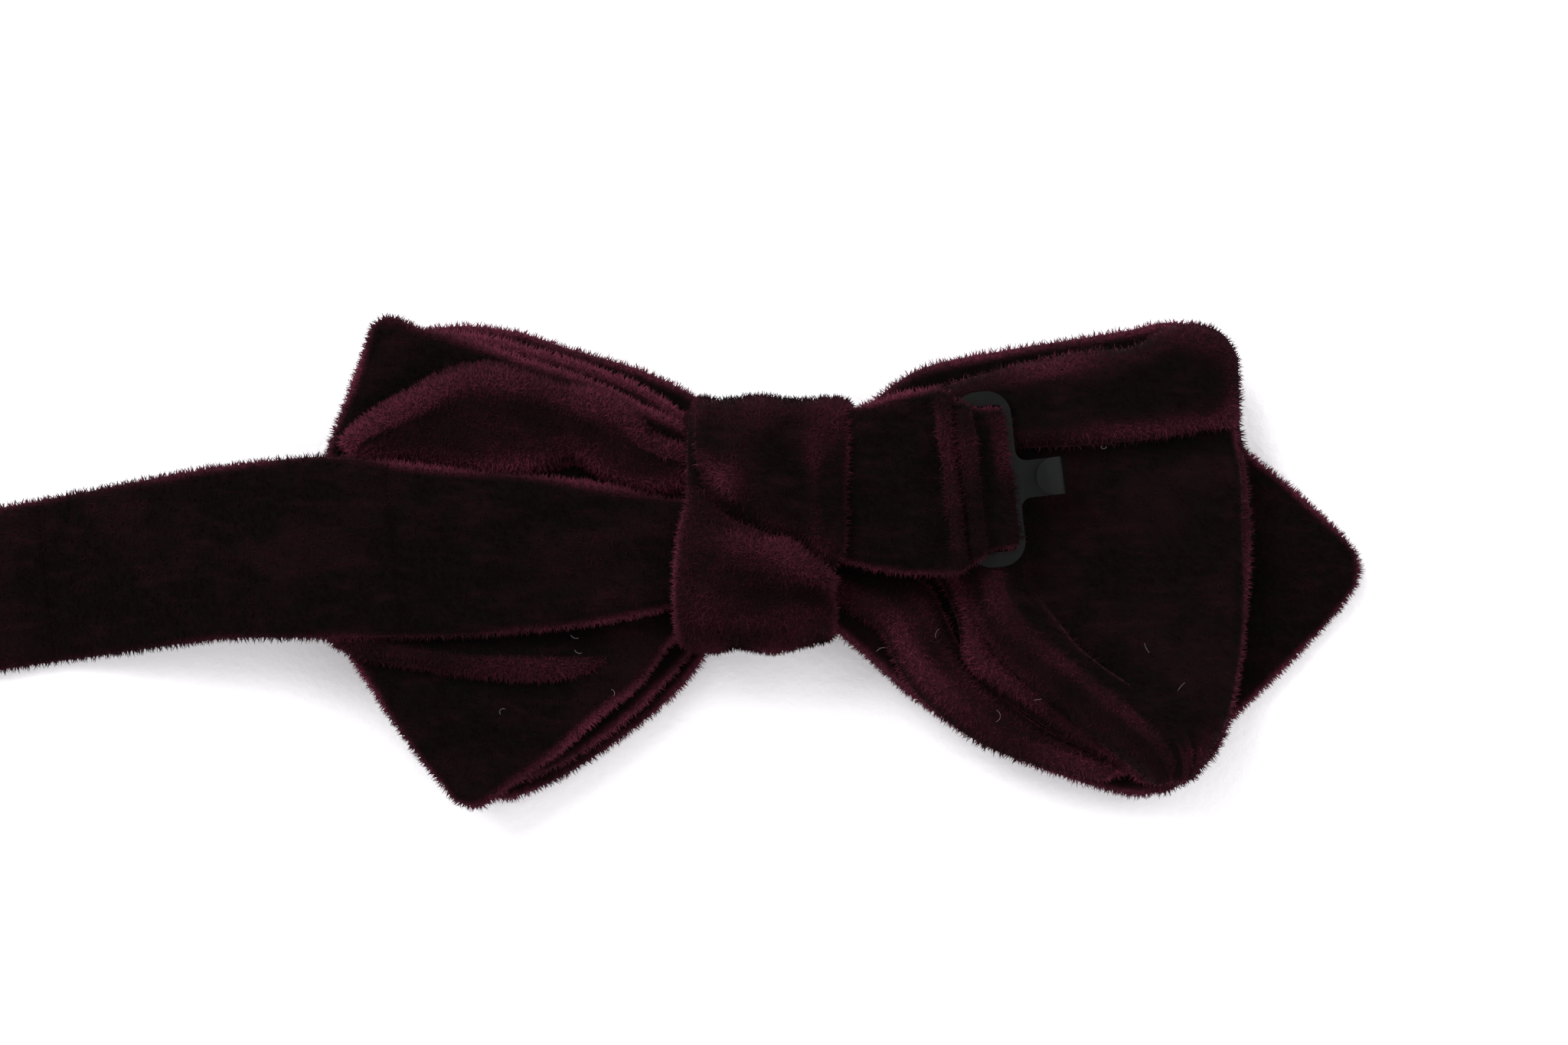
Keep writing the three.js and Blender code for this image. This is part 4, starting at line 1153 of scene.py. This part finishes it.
class VelvetSettings(bpy.types.PropertyGroup):
    """The velvet's pile and colours"""

    pile_length: length("Pile length", "How far the tufts stand out of the cloth", 0.78 * MM)
    tuft_root: length("Tuft width", "Radius of a tuft where it leaves the cloth", 0.085 * MM)
    tufts_per_mm2: bpy.props.FloatProperty(
        name="Tufts per square millimetre", description="How closely the tufts stand", default=8.0, min=0.1
    )
    lean: bpy.props.FloatProperty(
        name="Lean", description="How far a tuft may lean over", default=0.65, subtype="ANGLE"
    )
    scatter: bpy.props.FloatProperty(
        name="Scatter", description="How unevenly the tufts catch the light", default=0.22, min=0
    )
    velvet_deep: colour("Deep colour", "The velvet seen straight down into the pile", (0.0022, 0.0014, 0.0013))
    # the lighter colour painted where painted light falls, at edges, ridges and lifted layers
    velvet_painted_highlight: colour("Painted highlight colour", "The lighter velvet colour painted at lit edges, ridges and layers", (0.05, 0.0095, 0.018))
    sheen: colour("Sheen colour", "The bright edge that the pile shows at a low angle", (0.098, 0.03, 0.043))


class StageSettings(bpy.types.PropertyGroup):
    """The camera, lights and floor"""

    distance: length("Camera distance", "From the table to the camera", 0.8)
    framed_width: length("Framed width", "How much of the table the picture takes in", 0.2048)
    daylight: bpy.props.FloatProperty(
        name="Daylight", description="Strength of the light from all round", default=1.15, min=0
    )
    key: bpy.props.FloatProperty(
        name="Key light", description="Power of the soft window light", default=9.0, subtype="POWER"
    )
    floor: colour("Table colour", "Colour of the table top", (0.9, 0.89, 0.91))


# ---------------------------------------------------------------- operators


class BOWTIE_OT_finishes(bpy.types.Operator):
    """Mix the velvet, canvas, thread and metal finishes and the makers of pile and stitches"""

    bl_idname = "bow_tie.finishes"
    bl_label = "Finishes"

    def execute(self, context):
        make_materials(context.scene.bow_tie_velvet)
        pile_tree()
        stitch_tree()
        return {"FINISHED"}


class BOWTIE_OT_stage(bpy.types.Operator):
    """Lay the pale table and set the lights and the camera"""

    bl_idname = "bow_tie.stage"
    bl_label = "Stage"

    def execute(self, context):
        settings = context.scene.bow_tie_stage
        mesh = bpy.data.meshes.new("table_top")
        side, top = 3.0, CAD_BOX[0][2] - TABLE_GAP
        corners = ((-side, -side), (side, -side), (side, side), (-side, side))
        mesh.from_pydata([(*corner, top) for corner in corners], [], [(0, 1, 2, 3)])
        paper = bpy.data.materials.new("White table")
        paper.use_nodes = True
        nodes = Nodes(paper.node_tree)
        where = nodes.places()
        rough = nodes.noise(where, 900.0, 3.0, 0.6)
        grain = nodes.add("ShaderNodeBump", {"Height": rough, "Strength": 0.25, "Distance": 0.0005})
        shader = nodes.add(
            "ShaderNodeBsdfPrincipled",
            {"Base Color": (*settings.floor, 1), "Roughness": 0.6, "Specular IOR Level": 0.2, "Normal": grain},
        )
        nodes.add("ShaderNodeOutputMaterial", {"Surface": shader})
        table = new_object("table_top", mesh)
        mesh.materials.append(paper)

        world = bpy.data.worlds.new("Studio")
        context.scene.world = world
        world.use_nodes = True
        sky = world.node_tree.nodes["Background"]
        sky.inputs["Color"].default_value = (1, 0.99, 1, 1)
        sky.inputs["Strength"].default_value = settings.daylight
        for name, place, size, power in (
            ("Window light", (-0.45, 0.55, 0.75), 0.55, settings.key),
            ("Fill light", (0.7, 0.2, 0.6), 0.8, settings.key * 0.25),
        ):
            lamp = bpy.data.lights.new(name, "AREA")
            lamp.energy, lamp.size = power, size
            lamp_object = bpy.data.objects.new(name, lamp)
            context.scene.collection.objects.link(lamp_object)
            lamp_object.location = place
            lamp_object.rotation_euler = (-Vector(place)).to_track_quat("-Z", "Y").to_euler()

        camera = bpy.data.cameras.new("Overhead camera")
        camera.lens = camera.sensor_width * settings.distance / settings.framed_width
        camera.clip_start = 0.01
        overhead = bpy.data.objects.new("Overhead camera", camera)
        context.scene.collection.objects.link(overhead)
        overhead.location = (*AIM, settings.distance)
        context.scene.camera = overhead
        context.scene.view_settings.view_transform = "Standard"
        return {"FINISHED"}


class BOWTIE_OT_wings(bpy.types.Operator):
    """Fold the two loops and lay the two pointed ends"""

    bl_idname = "bow_tie.wings"
    bl_label = "Wings"

    def execute(self, context):
        layers = wing_grids()
        for name, seed, flat, held, under, more in (
            ("front_point", 11, (60, 78), "laid", "table_top", {"area": 3300}),
            ("back_loop", 21, (64, 130), "folded", "front_point_velvet",
             # painted light: the pleat and the fanned folds are painted lighter as a whole
             {"canvas_layers": 2, "painted_layer_light": (0, 0, 0.04, 0.12, 0.12)}),
            ("front_loop", 41, (60, 104), "folded", "table_top", {}),
            # painted light: the dome is painted lighter as a whole
            ("back_point", 31, (64, 78), "laid", "front_loop_velvet", {"area": 3900, "painted_layer_light": (0, 0.22, 0)}),
        ):
            wing_piece(name, layers[name], seed, flat, held, [under], **more)
        return {"FINISHED"}


class BOWTIE_OT_knot(bpy.types.Operator):
    """Wrap the knot"""

    bl_idname = "bow_tie.knot"
    bl_label = "Knot"

    def execute(self, context):
        layers = knot_layers()
        cloth = Cloth()
        cloth.add(layers[0], half=0.9, rim=1.6, wave=0.2, seed=51, glow=0.4)
        # painted light: the knot's two folds are painted lighter as a whole
        cloth.add(layers[1], half=0.9, wave=0.16, size=10, seed=52, painted_layer_light=0.1, glow=0.4)
        cloth.add(layers[2], half=0.9, wave=0.16, size=10, seed=53, painted_layer_light=0.22, glow=0.5)
        velvet_piece(
            "knot_velvet", cloth, Ride("bow"), ["knot_wrap", "knot_upper_fold", "knot_lower_fold"],
            51,
        )
        low, high = (np.array(corner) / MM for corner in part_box("knot_core"))
        middle = (low[2] + high[2]) / 2
        rows = [
            [(x, y, middle) for x in np.linspace(low[0], high[0], 5)] for y in np.linspace(low[1], high[1], 5)
        ]
        core = Cloth().add(loft([np.array(row) * MM for row in rows], 24, 24), half=(high[2] - low[2]) / 2, wave=0.1)
        piece = new_object("knot_padding", core.mesh("knot_padding"), "Canvas interlining")
        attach(piece, "bow")
        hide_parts("knot_core")
        return {"FINISHED"}


class BOWTIE_OT_tab(bpy.types.Operator):
    """Carry the short strap from the knot over the hook's bar"""

    bl_idname = "bow_tie.tab"
    bl_label = "Hook strap"

    def execute(self, context):
        pivot = STRAP.joint("tab_flex")
        cloth = Cloth()
        for layer in tab_layers():
            # painted shade: the hook strap is painted darker as a whole
            cloth.add(layer, half=0.72, rim=1.2, wave=0.14, seed=61, painted_layer_light=-0.14)
        velvet_piece(
            "tab_velvet", cloth, Ride("bow", "tab", start=pivot - 2.5, end=pivot + 3.5),
            ["tab_root", "tab_strap"], 61,
        )
        stitched_line("tab_stitches", "tab_stitching", "tab", 0.35, 62)
        return {"FINISHED"}


class BOWTIE_OT_band(bpy.types.Operator):
    """Run the neck band from the knot to the slack, in lengths that meet one another end to end"""

    bl_idname = "bow_tie.band"
    bl_label = "Neck band"

    def execute(self, context):
        band = Band()
        bends, cuts = band_cuts()
        bodies = ["bow"] + [f"band_{n}" for n in range(1, 7)]
        for n, bend in enumerate(bends):
            start, end = cuts[n], cuts[n + 1]
            grid = band.grid(end + 0.004, start - 0.004)
            reach = 0.8 * min(abs(start - bend), abs(bend - end))
            ride = Ride(bodies[n], bodies[n + 1], start=bend + reach, end=bend - reach)
            cloth = Cloth().add(grid, half=1.05, cut_ends=True, rim=1.5, wave=0.0, glow=0.8)
            node = f"neck_band_{n + 1}"
            nodes = [node] + (["band_root"] if n == 0 else [])
            velvet_piece(f"band_velvet_{n + 1}", cloth, ride, nodes, 71 + n)
            inner = Cloth().add(grid[:, 4:-4], half=0.2, cut_ends=True, rim=0.25, wave=0.0)
            canvas_piece(f"band_interlining_{n + 1}", inner, ride, [name + "_canvas" for name in nodes])
        return {"FINISHED"}


class BOWTIE_OT_end(bpy.types.Operator):
    """Fold the band's far end through the eye and back to the slider"""

    bl_idname = "bow_tie.end"
    bl_label = "Adjustable end"

    def execute(self, context):
        paths = end_paths()
        slack, back = STRAP.box("band_slack"), STRAP.box("band_return")
        to_the_eye = Ride("band_6", "band_end", start=slack[1][0] - 2, end=slack[0][0] + 2)
        to_the_slider = Ride("band_end", "slider", start=back[0][0] + 1, end=back[1][0] - 1)
        pieces = (
            ("slack", "band_slack", to_the_eye, "laid", (21, 84), "table_top"),
            ("return", "band_return", to_the_slider, "laid", (20, 18), "band_slack_velvet"),
            ("fold", "band_end_fold", Ride("band_end"), "folded", (18, 22), "eye_plate"),
            ("hump", "band_hump", Ride("slider"), "folded", (20, 12), "slider_frame"),
            ("wrap", "return_wrap", Ride("slider"), "folded", (20, 28), "slider_frame"),
        )
        for number, (name, node, ride, held, flat, under) in enumerate(pieces):
            joined = name in ("slack", "return", "fold")
            cloth = Cloth().add(
                strip(paths[name]), half=0.85, cut_ends=joined, rim=1.1, wave=0.05, seed=81 + number, glow=0.8
            )
            velvet_piece(node + "_velvet", cloth, ride, [node], 81 + number)
        stitched_line("return_stitches", "return_stitching", "slider", 0.1, 91)
        return {"FINISHED"}


class BOWTIE_OT_findings(bpy.types.Operator):
    """Finish the hook, the slider, the eye and the knot's tack, and scatter a little lint"""

    bl_idname = "bow_tie.findings"
    bl_label = "Findings"

    def execute(self, context):
        for node in ("hook_plate", "slider_frame", "eye_plate"):
            eased_metal(node, "Black metal", 0.14 * MM)
        tack = frame["nodes"]["knot_tack"]
        tack.data.materials.clear()
        tack.data.materials.append(material("Sewing thread"))
        lint_piece("bow_lint", ["back_loop", "back_point"], 20, 95, "bow")
        return {"FINISHED"}


class BOWTIE_PT_panel(bpy.types.Panel):
    """The bow tie's pieces and settings"""

    bl_label = "Velvet Bow Tie"
    bl_space_type = "VIEW_3D"
    bl_region_type = "UI"
    bl_category = "Bow Tie"

    def draw(self, context):
        for settings in (context.scene.bow_tie_velvet, context.scene.bow_tie_stage):
            box = self.layout.box()
            for name in settings.bl_rna.properties.keys():
                if name not in ("rna_type", "name"):
                    box.prop(settings, name)
        for operator in OPERATORS:
            self.layout.operator(operator.bl_idname)


OPERATORS = (
    BOWTIE_OT_finishes, BOWTIE_OT_stage, BOWTIE_OT_wings, BOWTIE_OT_knot, BOWTIE_OT_tab,
    BOWTIE_OT_band, BOWTIE_OT_end, BOWTIE_OT_findings,
)
CLASSES = (VelvetSettings, StageSettings, *OPERATORS, BOWTIE_PT_panel)


def register():
    for made in CLASSES:
        bpy.utils.register_class(made)
    bpy.types.Scene.bow_tie_velvet = bpy.props.PointerProperty(type=VelvetSettings)
    bpy.types.Scene.bow_tie_stage = bpy.props.PointerProperty(type=StageSettings)


def unregister():
    del bpy.types.Scene.bow_tie_stage
    del bpy.types.Scene.bow_tie_velvet
    for made in reversed(CLASSES):
        bpy.utils.unregister_class(made)


def main():
    register()
    for step in ("finishes", "stage", "wings", "knot", "tab", "band", "end", "findings"):
        getattr(bpy.ops.bow_tie, step)()


if __name__ == "__main__":
    main()
